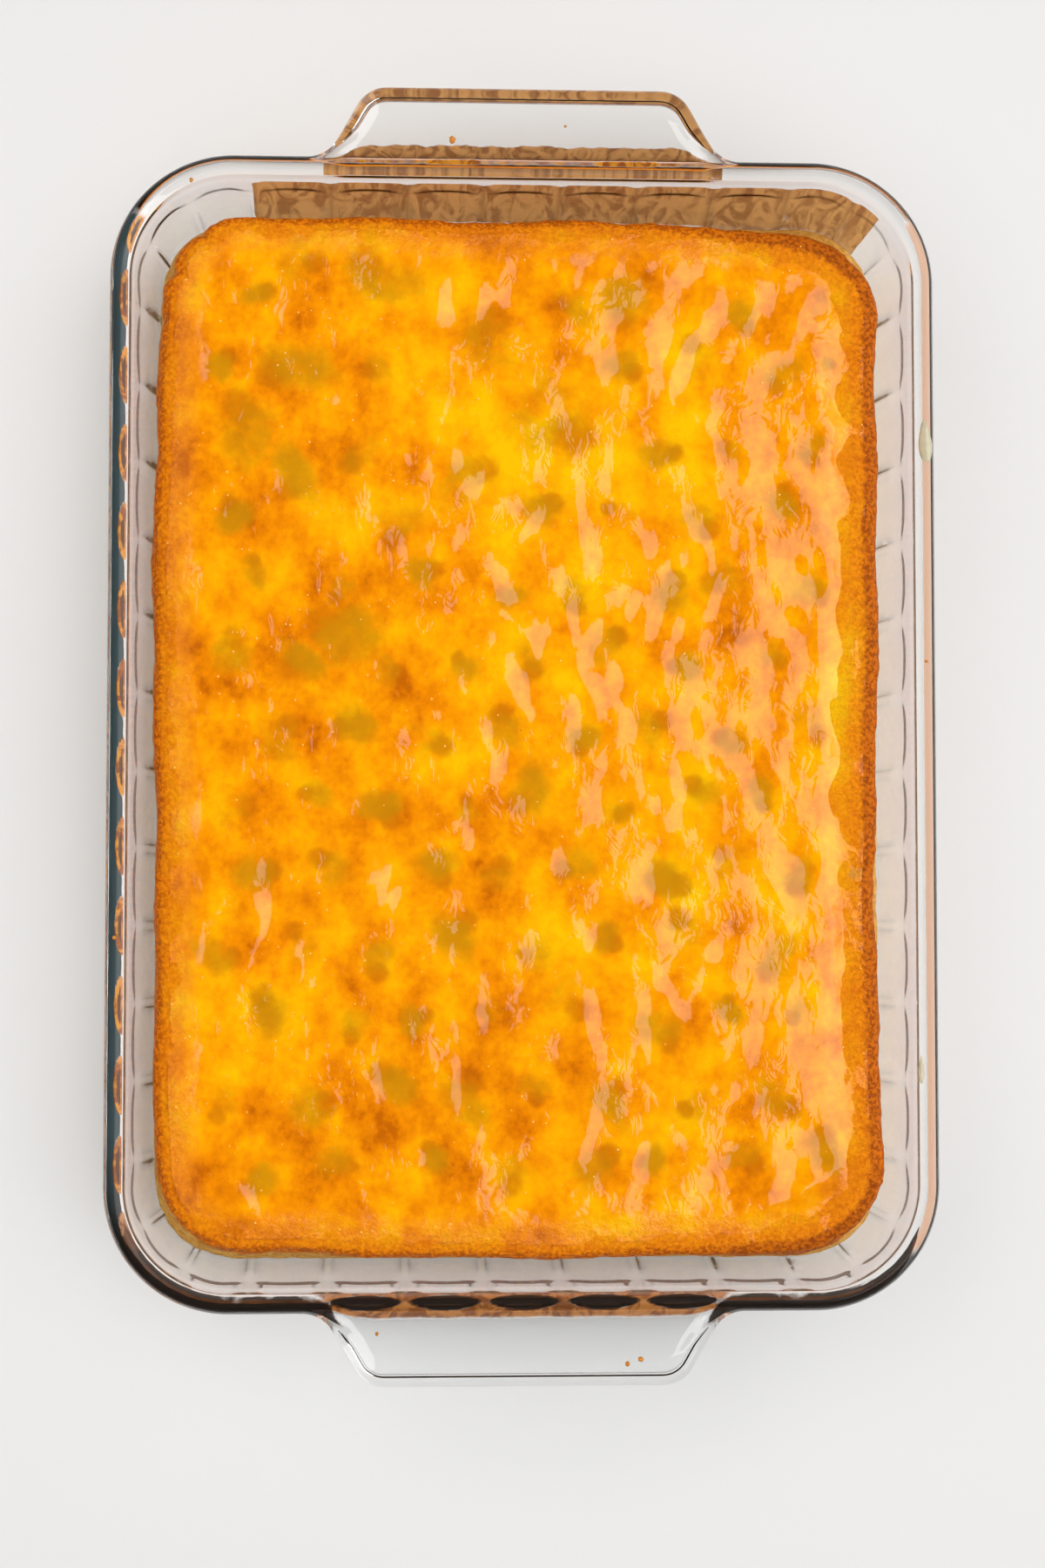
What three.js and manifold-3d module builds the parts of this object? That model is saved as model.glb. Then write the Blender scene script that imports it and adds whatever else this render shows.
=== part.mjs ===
// A lemon poke cake in the clear glass baking dish that it was baked in.
// Millimetres, +Z up. The origin is at the centre of the dish's underside, and the dish is long in Y.
import * as THREE from 'three';
import { mergeVertices } from 'three/addons/utils/BufferGeometryUtils.js';
import Module from 'manifold-3d';

const wasm = await Module();
wasm.setup();

// Driving dimensions of the dish
const RIM_WIDTH = 240;
const RIM_LENGTH = 334;
const DISH_HEIGHT = 54;
const CORNER_RADIUS = 36;
const WALL_THICKNESS = 5;
const BASE_THICKNESS = 5.6;
const WALL_DRAFT = THREE.MathUtils.degToRad(11);
const BASE_OUTER_RADIUS = 13;
const BASE_INNER_RADIUS = 11;

// The rolled rim: a bead that stands a little outside the wall
const RIM_UNDERSIDE = DISH_HEIGHT - 8.6;
const BEAD_OVERHANG = 2;
const WALL_INTO_BEAD = 3;

// The bead's outer side, and the rounding inside it above the wall, as [inset, height] going up
const BEAD_PROFILE = [
  [3, RIM_UNDERSIDE - 0.4],
  [0.8, RIM_UNDERSIDE + 0.9],
  [0, DISH_HEIGHT - 4.4],
  [0.8, DISH_HEIGHT - 1.7],
  [3, DISH_HEIGHT],
];
const INSIDE_WALL_TOP = DISH_HEIGHT - 4;
const INSIDE_ROUNDING = [[5.7, DISH_HEIGHT - 2.2], [3, DISH_HEIGHT + 0.6], [3, DISH_HEIGHT + 2]];

// Flutes: the outside of the wall swells between narrow grooves, which run out at both their ends.
// The rows are [height, share of the grooves' depth] going up.
const FLUTES = 48;
const GROOVE_DEPTH = 0.8;
const GROOVE_HALF = 0.13;
const FLUTE_PHASES = [0, GROOVE_HALF, 0.5, 1 - GROOVE_HALF];
const GROOVE_ROWS = [[13.5, 0], [17, 1], [29, 0.9], [37, 0.4], [44.6, 0]];

// The two tab handles at the short ends, with a shallow finger recess below
const HANDLE_REACH = 21;
const HANDLE_BASE_HALF = 57.4;
const HANDLE_TIP_HALF = 45.9;
const HANDLE_THICKNESS = 6.4;
const HANDLE_TOP = DISH_HEIGHT - 2;
const HANDLE_ROUNDING = 7;
const HANDLE_EDGE = 1.8;
const HANDLE_ROOT = 4.2;
const RECESS_INSET = 5.5;
const RECESS_DEPTH = 2.8;
const RECESS_ROUNDING = 6;
const RECESS_EDGE = 1.2;
const RECESS_ROOT_SHARE = 1.6;
const RECESS_TIP_SHARE = 0.9;

// The cake: it touches the wall low down, and has shrunk away from it towards its top
const CAKE_WIDTH = 212;
const CAKE_LENGTH = 305;
const CAKE_RADIUS = 27;
const CAKE_OFFSET = [-0.6, 0.4];
const CAKE_EDGE_HEIGHT = 40.2;
const CAKE_DOME = 1.6;
const CAKE_FOOT_GAP = 0.8;
const CAKE_TOUCHING_HEIGHT = 21;
const CAKE_SLUMP = 4.5;
const SLUMP_FROM = 28;
const SLUMP_TO = 80;
const CAKE_CORNER_STEPS = 4;
const CAKE_LONG_STEPS = 9;
const CAKE_SHORT_STEPS = 6;

// The cake's rounded upper edge, as [inset, drop below its top] from low to high
const CAKE_EDGE = [[-1.1, 12], [-0.1, 4.2], [1.1, 1.2]];

// The waver of the cake's outline: size, waves round the cake, and where each starts
const OUTLINE_WAVES = [[0.8, 3, 0.6], [0.5, 7, 2.1], [0.35, 19, 0]];

// The low rolls of its top: size and wavelengths, in the order that cakeTopAt uses them
const ROLL_SIZE = 0.35;
const ROLL_LENGTHS = [17, 23];
const ROLL_START = 0.8;
const RIPPLE_SIZE = 0.25;
const RIPPLE_LENGTHS = [31, 14];

// The lemon glaze: a thin skin over the top, with a plug down every poke hole
const GLAZE_THICKNESS = 1.4;
const GLAZE_MARGIN = 5.5;
const GLAZE_RING_SCALES = [1, 0.74, 0.4];
const GAP = 0.35;

// Poke holes: staggered rows, none quite in its place, as a wooden spoon's handle leaves them
const HOLE_ROWS = 13;
const HOLE_COLUMNS = 8;
const HOLE_MARGIN = 15;
const HOLE_JITTER = 4.2;
const HOLE_RADIUS = [3.4, 5.6];
const HOLE_DEPTH = [13, 19];
const HOLE_STRETCH = 1.3;
const HOLE_SIDES = 6;
const HOLE_SEED = 417;
const DIMPLE_DEPTH = 1.5;
const DIMPLE_OVERRUN = 0.4;
const DIMPLE_SHARE = 1.1;

// The larger pools, where two pokes ran into one or the crust sank:
// centre x and y, half the length, half the width, and the turn in degrees
const POOL_DEPTH = 11;
const POOLS = [
  [-66, 138, 7, 5, 80],
  [-40, 132, 12, 5.5, -8],
  [30, 128, 6.6, 6, 0],
  [-12, 115, 9.5, 5.5, -55],
  [-65, 106, 10, 6, -5],
  [7, 93, 12, 8.5, 75],
  [-80, 86, 9.5, 7.5, 80],
  [-66, 76, 8.5, 4.6, -60],
  [-17, 74, 8.2, 5, 60],
  [-50, 28, 9, 7.6, 20],
  [14, -76, 8.2, 4.2, 45],
  [-16, -108, 8.6, 4.4, -50],
];

// A small seeded random source, so that the cake comes out the same every time
function seededRandom(seed) {
  let state = seed;
  return () => {
    state = (Math.imul(state, 1664525) + 1013904223) >>> 0;
    return state / 2 ** 32;
  };
}

// The point at a fraction of the way round a rounded rectangle, as the centre that its corner
// turns on (which slides along the straight sides) and its outward direction.
// It starts at the middle of the +Y side and goes counter-clockwise.
function outlineStation(halfX, halfY, radius, fraction) {
  const straightX = halfX - radius;
  const straightY = halfY - radius;
  const arc = radius * Math.PI / 2;
  const quarterLength = straightX + arc + straightY;
  const along = fraction * 4 * quarterLength;
  const quarter = Math.floor(along / quarterLength + 1e-9) % 4;
  const within = along - Math.floor(along / quarterLength + 1e-9) * quarterLength;
  const before = quarter % 2 === 0 ? straightX : straightY;
  const turned = THREE.MathUtils.clamp((within - before) / arc, 0, 1);
  const angle = (1 + quarter + turned) * Math.PI / 2;
  const slide = within < before ? within - before : Math.max(within - before - arc, 0);
  const signX = quarter === 0 || quarter === 1 ? -1 : 1;
  const signY = quarter === 0 || quarter === 3 ? 1 : -1;
  return {
    x: signX * straightX - Math.sin(angle) * slide,
    y: signY * straightY + Math.cos(angle) * slide,
    nx: Math.cos(angle),
    ny: Math.sin(angle),
    fraction,
  };
}

// Stations with a chosen number of steps in each corner and along each straight side
function cornerStations(halfX, halfY, radius, cornerSteps, longSteps, shortSteps) {
  const straightX = halfX - radius;
  const straightY = halfY - radius;
  const arc = radius * Math.PI / 2;
  const perimeter = 4 * (straightX + arc + straightY);
  const stretches = [
    [2 * straightX, shortSteps], [arc, cornerSteps], [2 * straightY, longSteps], [arc, cornerSteps],
    [2 * straightX, shortSteps], [arc, cornerSteps], [2 * straightY, longSteps], [arc, cornerSteps],
  ];
  const stations = [];
  let along = perimeter - straightX;
  for (const [length, steps] of stretches) {
    for (let step = 0; step < steps; step += 1) {
      const fraction = ((along + length * step / steps) / perimeter) % 1;
      stations.push(outlineStation(halfX, halfY, radius, fraction));
    }
    along += length;
  }
  return stations;
}

// One ring of a loft: every station moved in by inset(station) and set at height(x, y)
function ringAt(stations, radius, inset, height) {
  return stations.map((station) => {
    const reach = radius - inset(station);
    const x = station.x + station.nx * reach;
    const y = station.y + station.ny * reach;
    return [x, y, height(x, y)];
  });
}

// A closed geometry through rings that all have as many points, with a fan over each end.
// The rings run counter-clockwise seen from above, and the first one is the underside's.
// The first strips may be split along the other diagonal, to lie parallel to a face below them.
function loft(rings, stripsSplitOtherWay = 0) {
  const around = rings[0].length;
  const positions = rings.flat(2);
  const index = [];
  for (let ring = 0; ring < rings.length - 1; ring += 1) {
    for (let step = 0; step < around; step += 1) {
      const next = (step + 1) % around;
      const a = ring * around + step;
      const b = ring * around + next;
      const c = (ring + 1) * around + next;
      const d = (ring + 1) * around + step;
      index.push(...(ring < stripsSplitOtherWay ? [a, b, d, b, c, d] : [a, b, c, a, c, d]));
    }
  }
  const closeEnd = (ring, facesUp) => {
    const centre = positions.length / 3;
    for (let axis = 0; axis < 3; axis += 1) {
      positions.push(rings[ring].reduce((sum, point) => sum + point[axis], 0) / around);
    }
    for (let step = 0; step < around; step += 1) {
      const here = ring * around + step;
      const next = ring * around + (step + 1) % around;
      index.push(centre, facesUp ? here : next, facesUp ? next : here);
    }
  };
  closeEnd(0, false);
  closeEnd(rings.length - 1, true);
  const geometry = new THREE.BufferGeometry();
  geometry.setAttribute('position', new THREE.Float32BufferAttribute(positions, 3));
  geometry.setIndex(index);
  return geometry;
}

// A geometry as a solid that can be joined and cut
function solidOf(geometry) {
  const bare = geometry.clone();
  bare.deleteAttribute('normal');
  bare.deleteAttribute('uv');
  const merged = mergeVertices(bare, 1e-4);
  return new wasm.Manifold(new wasm.Mesh({
    numProp: 3,
    vertProperties: new Float32Array(merged.attributes.position.array),
    triVerts: new Uint32Array(merged.index.array),
  }));
}

// A solid as a named mesh with its own material
function meshOf(name, solid, material) {
  const result = solid.getMesh();
  const geometry = new THREE.BufferGeometry();
  geometry.setAttribute('position', new THREE.BufferAttribute(new Float32Array(result.vertProperties), 3));
  geometry.setIndex(new THREE.BufferAttribute(new Uint32Array(result.triVerts), 1));
  geometry.computeVertexNormals();
  const mesh = new THREE.Mesh(geometry, new THREE.MeshStandardMaterial(material));
  mesh.name = name;
  return mesh;
}

// The rounding between a drafted wall and a level floor, as [inset, height] points from the floor up.
// The wall's line is given by its inset at the rim's underside.
function footRounding(wallInset, floorHeight, radius, steps) {
  const centreHeight = floorHeight + radius;
  const touch = centreHeight - radius * Math.sin(WALL_DRAFT);
  const centreInset = radius * Math.cos(WALL_DRAFT) + wallInset
    + (RIM_UNDERSIDE - touch) * Math.tan(WALL_DRAFT);
  const points = [];
  for (let step = 0; step <= steps; step += 1) {
    const angle = THREE.MathUtils.lerp(Math.PI / 2, WALL_DRAFT, step / steps);
    points.push([centreInset - radius * Math.cos(angle), centreHeight - radius * Math.sin(angle)]);
  }
  return points;
}

function wallInsetAt(wallInset, height) {
  return wallInset + (RIM_UNDERSIDE - height) * Math.tan(WALL_DRAFT);
}

const halfRimX = RIM_WIDTH / 2;
const halfRimY = RIM_LENGTH / 2;
const innerWallInset = BEAD_OVERHANG + WALL_THICKNESS;

// The fluted wall and the base, solid right through
function dishBody() {
  const stations = [];
  for (let flute = 0; flute < FLUTES; flute += 1) {
    for (const phase of FLUTE_PHASES) {
      const fraction = (flute + 0.5 + phase) / FLUTES % 1;
      const station = outlineStation(halfRimX, halfRimY, CORNER_RADIUS, fraction);
      stations.push({ ...station, hollow: phase === 0 ? GROOVE_DEPTH : 0 });
    }
  }
  const rings = [];
  for (const [inset, height] of footRounding(BEAD_OVERHANG, 0, BASE_OUTER_RADIUS, 3)) {
    rings.push(ringAt(stations, CORNER_RADIUS, () => inset, () => height));
  }
  for (const [height, share] of GROOVE_ROWS) {
    const inset = wallInsetAt(BEAD_OVERHANG, height);
    rings.push(ringAt(stations, CORNER_RADIUS, (station) => inset + share * station.hollow, () => height));
  }
  const wallTop = RIM_UNDERSIDE + WALL_INTO_BEAD;
  rings.push(ringAt(stations, CORNER_RADIUS, () => wallInsetAt(BEAD_OVERHANG, wallTop), () => wallTop));
  return solidOf(loft(rings));
}

// The rim's bead, solid right through until the hollow is cut
function rimBead() {
  const stations = cornerStations(halfRimX, halfRimY, CORNER_RADIUS, 8, 1, 1);
  const rings = BEAD_PROFILE.map(([inset, height]) => (
    ringAt(stations, CORNER_RADIUS, () => inset, () => height)));
  return solidOf(loft(rings));
}

// The hollow of the dish, down to its floor
function dishHollow() {
  const stations = cornerStations(halfRimX, halfRimY, CORNER_RADIUS, 6, 1, 1);
  const profile = footRounding(innerWallInset, BASE_THICKNESS, BASE_INNER_RADIUS, 3);
  profile.push([wallInsetAt(innerWallInset, INSIDE_WALL_TOP), INSIDE_WALL_TOP], ...INSIDE_ROUNDING);
  const rings = profile.map(([inset, height]) => (
    ringAt(stations, CORNER_RADIUS, () => inset, () => height)));
  return solidOf(loft(rings));
}

// A tab's outline with its root on y = 0: hollow corners at the root, round ones at the tip
function tabShape(rootHalf, tipHalf, start, reach, rounding, flare) {
  const slope = new THREE.Vector2(rootHalf - tipHalf, -reach).normalize().multiplyScalar(rounding);
  const root = new THREE.Vector2(rootHalf, 0);
  const tip = new THREE.Vector2(tipHalf, reach);
  const shape = new THREE.Shape();
  shape.moveTo(root.x + flare, start);
  if (flare > 0) {
    shape.lineTo(root.x + flare, 0);
    shape.quadraticCurveTo(root.x, root.y, root.x - slope.x, root.y - slope.y);
  }
  shape.lineTo(tip.x + slope.x, tip.y + slope.y);
  shape.quadraticCurveTo(tip.x, tip.y, tip.x - rounding, tip.y);
  shape.lineTo(-tip.x + rounding, tip.y);
  shape.quadraticCurveTo(-tip.x, tip.y, -tip.x - slope.x, tip.y + slope.y);
  if (flare > 0) {
    shape.lineTo(-root.x + slope.x, root.y - slope.y);
    shape.quadraticCurveTo(-root.x, root.y, -root.x - flare, 0);
  }
  shape.lineTo(-root.x - flare, start);
  shape.closePath();
  return shape;
}

function tabSolid(shape, thickness, edge, bottom) {
  const geometry = new THREE.ExtrudeGeometry(shape, {
    depth: thickness - 2 * edge,
    bevelThickness: edge,
    bevelSize: edge,
    bevelOffset: -edge,
    bevelSegments: 2,
    curveSegments: 4,
  });
  geometry.translate(0, halfRimY, bottom + edge);
  return geometry;
}

// Both handles, each with the recess that the fingertips find below it
function handleGeometries() {
  const plate = tabShape(
    HANDLE_BASE_HALF, HANDLE_TIP_HALF, -HANDLE_ROOT, HANDLE_REACH, HANDLE_ROUNDING, HANDLE_ROUNDING);
  const recess = tabShape(
    HANDLE_BASE_HALF - RECESS_ROOT_SHARE * RECESS_INSET,
    HANDLE_TIP_HALF - RECESS_TIP_SHARE * RECESS_INSET,
    1, HANDLE_REACH - RECESS_INSET, RECESS_ROUNDING, 0);
  const bottom = HANDLE_TOP - HANDLE_THICKNESS;
  return {
    plate: tabSolid(plate, HANDLE_THICKNESS, HANDLE_EDGE, bottom),
    recess: tabSolid(recess, 3 * RECESS_DEPTH, RECESS_EDGE, bottom - 2 * RECESS_DEPTH),
  };
}

function makeDish() {
  let dish = dishBody().add(rimBead());
  const { plate, recess } = handleGeometries();
  for (const turn of [0, Math.PI]) {
    dish = dish.add(solidOf(plate.clone().rotateZ(turn)));
    dish = dish.subtract(solidOf(recess.clone().rotateZ(turn)));
  }
  dish = dish.subtract(dishHollow());
  return meshOf('dish', dish, { color: 0xe4e8e4, roughness: 0.04, metalness: 0 });
}

// The cake's own unevenness: a wavering outline, one corner pulled in, and a low rolling top
function outlineWaver(station) {
  const turn = 2 * Math.PI * station.fraction;
  const corner = THREE.MathUtils.smoothstep(station.x, SLUMP_FROM, SLUMP_TO);
  const pulledIn = corner * Math.max(station.ny, 0) * CAKE_SLUMP;
  return OUTLINE_WAVES.reduce((sum, [size, count, start]) => (
    sum + size * Math.sin(count * turn + start)), pulledIn);
}

function cakeTopAt(x, y) {
  const across = 1 - (2 * x / CAKE_WIDTH) ** 2;
  const along = 1 - (2 * y / CAKE_LENGTH) ** 2;
  const dome = CAKE_DOME * Math.max(across, 0) * Math.max(along, 0);
  const rolls = Math.sin(x / ROLL_LENGTHS[0] + ROLL_START) * Math.cos(y / ROLL_LENGTHS[1]);
  const ripples = Math.sin(x / RIPPLE_LENGTHS[0] + y / RIPPLE_LENGTHS[1]);
  return CAKE_EDGE_HEIGHT + dome + ROLL_SIZE * rolls + RIPPLE_SIZE * ripples;
}

const cakeStations = cornerStations(
  CAKE_WIDTH / 2, CAKE_LENGTH / 2, CAKE_RADIUS, CAKE_CORNER_STEPS, CAKE_LONG_STEPS, CAKE_SHORT_STEPS);

// Rings over the top, which the cake's top and both faces of the glaze share
function topRings(lift) {
  const edge = ringAt(cakeStations, CAKE_RADIUS, (station) => outlineWaver(station) + GLAZE_MARGIN, () => 0);
  return GLAZE_RING_SCALES.map((scale) => edge.map(([x, y]) => (
    [x * scale, y * scale, cakeTopAt(x * scale, y * scale) + lift])));
}

// Rings of the cake's foot, which follow the inside of the dish a small gap away from it
function footRings() {
  const profile = footRounding(innerWallInset, BASE_THICKNESS, BASE_INNER_RADIUS, 2);
  profile.push([wallInsetAt(innerWallInset, CAKE_TOUCHING_HEIGHT), CAKE_TOUCHING_HEIGHT]);
  const scaleX = (halfRimX - CORNER_RADIUS) / (CAKE_WIDTH / 2 - CAKE_RADIUS);
  const scaleY = (halfRimY - CORNER_RADIUS) / (CAKE_LENGTH / 2 - CAKE_RADIUS);
  return profile.map(([inset, height]) => {
    const reach = CORNER_RADIUS - inset - CAKE_FOOT_GAP;
    return cakeStations.map(({ x, y, nx, ny }) => (
      [x * scaleX + nx * reach - CAKE_OFFSET[0], y * scaleY + ny * reach - CAKE_OFFSET[1], height + GAP]));
  });
}

function cakeBody() {
  const side = CAKE_EDGE.map(([inset, drop]) => ringAt(
    cakeStations, CAKE_RADIUS,
    (station) => inset + outlineWaver(station),
    (x, y) => cakeTopAt(x, y) - drop));
  return solidOf(loft([...footRings(), ...side, ...topRings(0)]));
}

function glazeSkin() {
  const under = topRings(GAP).reverse();
  const over = topRings(GAP + GLAZE_THICKNESS);
  return solidOf(loft([...under, ...over], under.length - 1));
}

function poolHoles() {
  return POOLS.map(([x, y, halfLength, halfWidth, turn]) => ({
    x,
    y,
    radius: Math.sqrt(halfLength * halfWidth),
    depth: POOL_DEPTH,
    stretch: Math.sqrt(halfLength / halfWidth),
    angle: THREE.MathUtils.degToRad(turn),
  }));
}

// Where each poke hole is, how wide and deep it is, and which way it was dragged.
// A hole that would fall into a pool is left out.
function pokeHoles() {
  const random = seededRandom(HOLE_SEED);
  const spread = ([low, high]) => low + (high - low) * random();
  const spanX = CAKE_WIDTH - 2 * HOLE_MARGIN;
  const spanY = CAKE_LENGTH - 2 * HOLE_MARGIN;
  const pools = poolHoles();
  const holes = [];
  for (let row = 0; row < HOLE_ROWS; row += 1) {
    const stagger = row % 2 === 0 ? 0.25 : -0.25;
    for (let column = 0; column < HOLE_COLUMNS; column += 1) {
      const placeX = (column + 0.5 + stagger) / HOLE_COLUMNS - 0.5;
      const placeY = (row + 0.5) / HOLE_ROWS - 0.5;
      const hole = {
        x: placeX * spanX + spread([-HOLE_JITTER, HOLE_JITTER]),
        y: placeY * spanY + spread([-HOLE_JITTER, HOLE_JITTER]),
        radius: spread(HOLE_RADIUS),
        depth: spread(HOLE_DEPTH),
        stretch: spread([1, HOLE_STRETCH]),
        angle: spread([0, Math.PI]),
      };
      const nearPool = pools.some((pool) => (
        Math.hypot(pool.x - hole.x, pool.y - hole.y) < pool.radius * pool.stretch + hole.radius));
      if (!nearPool) {
        holes.push(hole);
      }
    }
  }
  return [...pools, ...holes];
}

// A pointed peg with few sides, as wide at its top as the hole at the given share of its size
function pegSolid(hole, tip, top, share, gap) {
  const peg = new THREE.ConeGeometry(1, top - tip, HOLE_SIDES);
  peg.rotateX(-Math.PI / 2);
  peg.scale(share * hole.radius * hole.stretch - gap, share * hole.radius / hole.stretch - gap, 1);
  peg.rotateZ(hole.angle);
  peg.translate(hole.x, hole.y, (top + tip) / 2);
  return solidOf(peg);
}

// The cake with its holes, and the glaze that fills them and sinks a little over each
function makeCakeAndGlaze() {
  let cake = cakeBody();
  let glaze = glazeSkin();
  for (const hole of pokeHoles()) {
    const surface = cakeTopAt(hole.x, hole.y);
    const skinMiddle = surface + GAP + GLAZE_THICKNESS / 2;
    const skinTop = surface + GAP + GLAZE_THICKNESS;
    const tip = surface - hole.depth;
    const clearTip = tip + GAP * hole.depth * hole.stretch / hole.radius;
    cake = cake.subtract(pegSolid(hole, tip, skinMiddle, 1, 0));
    glaze = glaze.add(pegSolid(hole, clearTip, skinMiddle, 1, GAP));
    glaze = glaze.subtract(pegSolid(hole, skinTop - DIMPLE_DEPTH, skinTop + DIMPLE_OVERRUN, DIMPLE_SHARE, 0));
  }
  const cakeMesh = meshOf('cake', cake, { color: 0xd98a28, roughness: 0.8, metalness: 0 });
  const glazeMesh = meshOf('lemon_glaze', glaze, { color: 0xf0b41c, roughness: 0.12, metalness: 0 });
  return [cakeMesh, glazeMesh];
}

const dishWithCake = new THREE.Group();
dishWithCake.add(makeDish());
const cakeGroup = new THREE.Group();
cakeGroup.position.set(CAKE_OFFSET[0], CAKE_OFFSET[1], 0);
cakeGroup.add(...makeCakeAndGlaze());
dishWithCake.add(cakeGroup);

export default dishWithCake;
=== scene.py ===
# %% [markdown]
# # A lemon poke cake in its glass dish
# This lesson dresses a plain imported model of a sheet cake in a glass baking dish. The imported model
# holds the real sizes; each step below makes a finer piece that stands in for a plain one, or adds a
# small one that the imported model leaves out. Everything is computed, so that the same script always
# gives the same cake.

# %% Load the frame
import math

import bpy
import numpy as np
from mathutils import Matrix, Vector


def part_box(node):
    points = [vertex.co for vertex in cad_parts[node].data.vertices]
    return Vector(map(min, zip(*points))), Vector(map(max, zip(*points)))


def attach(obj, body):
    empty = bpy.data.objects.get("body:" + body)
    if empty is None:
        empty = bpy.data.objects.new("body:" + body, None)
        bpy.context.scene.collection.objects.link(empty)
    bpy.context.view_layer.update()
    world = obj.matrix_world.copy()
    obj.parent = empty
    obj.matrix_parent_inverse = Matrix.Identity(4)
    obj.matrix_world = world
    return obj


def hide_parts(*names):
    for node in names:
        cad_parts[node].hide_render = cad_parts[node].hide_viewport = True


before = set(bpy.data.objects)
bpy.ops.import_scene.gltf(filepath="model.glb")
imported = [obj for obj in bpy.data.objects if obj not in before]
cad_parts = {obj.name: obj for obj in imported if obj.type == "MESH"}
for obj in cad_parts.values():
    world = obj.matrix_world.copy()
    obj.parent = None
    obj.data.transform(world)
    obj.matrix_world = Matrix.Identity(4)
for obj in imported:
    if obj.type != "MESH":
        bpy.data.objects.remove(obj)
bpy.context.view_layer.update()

# %% [markdown]
# ## Sizes
# The shapes are worked out in millimetres, because a baker's sizes are easy to read that way, and are
# turned into metres when a mesh is made. The dish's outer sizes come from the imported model's box. The
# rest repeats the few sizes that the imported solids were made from.

# %% Driving sizes
MM = 0.001
DISH_HIGH = np.array(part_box("dish")[1]) / MM
HANDLE_REACH = 21.0
RIM_HALF_X = DISH_HIGH[0]
RIM_HALF_Y = DISH_HIGH[1] - HANDLE_REACH
DISH_HEIGHT = DISH_HIGH[2]
CORNER_RADIUS = 36.0
WALL_THICKNESS = 5.0
BASE_THICKNESS = 5.6
WALL_DRAFT = math.radians(11)
BASE_OUTER_RADIUS = 13.0
BASE_INNER_RADIUS = 11.0
RIM_UNDERSIDE = DISH_HEIGHT - 8.6
BEAD_OVERHANG = 2.0
CAKE_HALF_X = 106.0
CAKE_HALF_Y = 152.5
CAKE_RADIUS = 27.0
CAKE_OFFSET = (-0.6, 0.4)
CAKE_EDGE_HEIGHT = 40.2
CAKE_DOME = 1.6
CAKE_FOOT_GAP = 0.7
CAKE_SLUMP = 4.5
GLAZE_THICKNESS = 1.4
GLAZE_MARGIN = 5.5
GAP = 0.35
CAKE_OFF_FLOOR = 0.05
print("rim", 2 * RIM_HALF_X, "by", 2 * RIM_HALF_Y, "mm, height", DISH_HEIGHT)

# %% [markdown]
# ## Rounded outlines and lofts
# The dish and the cake are both rounded rectangles whose size changes with height. So one helper walks
# round a rounded rectangle, and another skins a stack of such rings. A loft like this could also be
# made with bridged edge loops or curves, but arrays of numbers keep every ring under one formula.

# %% Walk round a rounded rectangle
def outline(half_x, half_y, radius, fraction):
    """Corner centres (sliding along straight sides) and outward directions, from the middle of +Y."""
    straight_x = half_x - radius
    straight_y = half_y - radius
    arc = radius * math.pi / 2
    quarter_length = straight_x + arc + straight_y
    along = fraction * 4 * quarter_length
    quarter = np.floor(along / quarter_length + 1e-9).astype(int)
    within = along - quarter * quarter_length
    quarter = quarter % 4
    before = np.where(quarter % 2 == 0, straight_x, straight_y)
    angle = (1 + quarter + np.clip((within - before) / arc, 0, 1)) * math.pi / 2
    slide = np.where(within < before, within - before, np.maximum(within - before - arc, 0))
    centre_x = np.where(quarter < 2, -straight_x, straight_x) - np.sin(angle) * slide
    centre_y = np.where(quarter % 3 == 0, straight_y, -straight_y) + np.cos(angle) * slide
    return centre_x, centre_y, np.cos(angle), np.sin(angle)


def smooth_step(value, low, high):
    """0 below low, 1 above high, and a soft change between them."""
    share = np.clip((value - low) / (high - low), 0, 1)
    return share * share * (3 - 2 * share)


# %% Skin a stack of rings
def link_object(name, data):
    """An object in the scene that carries the given mesh, light or camera."""
    made = bpy.data.objects.new(name, data)
    bpy.context.scene.collection.objects.link(made)
    return made


def loft_mesh(name, rings, shift=(0, 0)):
    """A closed mesh through rings of (stations, 3) points in millimetres, with a fan at each end."""
    rows, around, _ = rings.shape
    first = rings[0].mean(0)
    last = rings[-1].mean(0)
    points = np.concatenate([rings.reshape(-1, 3), [first, last]])
    points[:, 0] += shift[0]
    points[:, 1] += shift[1]
    here = np.arange(around)
    following = (here + 1) % around
    lower = (np.arange(rows - 1) * around)[:, None]
    quads = np.stack([lower + here, lower + following,
                      lower + around + following, lower + around + here], -1).reshape(-1, 4)
    top = (rows - 1) * around
    fans = np.concatenate([
        np.stack([np.full(around, rows * around), following, here], -1),
        np.stack([np.full(around, rows * around + 1), top + here, top + following], -1),
    ])
    mesh = bpy.data.meshes.new(name)
    mesh.from_pydata(points * MM, [], quads.tolist() + fans.tolist())
    mesh.shade_smooth()
    return link_object(name, mesh)


def inward_rings(ring, scales, height):
    """Copies of a ring drawn in towards the middle, at height(x, y)."""
    rings = []
    for scale in scales:
        x = ring[:, 0] * scale
        y = ring[:, 1] * scale
        rings.append(np.stack([x, y, height(x, y)], -1))
    return rings


def level_at(height):
    """The height of a level floor, for rings that ask for a height at each x and y."""
    return lambda x, y: np.full_like(x, height)


# %% [markdown]
# ## The glass dish: base, wall and rolled rim
# A pressed glass dish is one thick shell: a flat base, a drafted wall with rounded feet inside and out,
# a rolled bead at the rim, and two tabs that grow out of the bead at the short ends. Joining separate
# parts would leave walls inside the glass, which show at once when light bends through them. So the
# whole dish is one loft: the rows at the rim are pushed outward where a tab stands.

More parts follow.
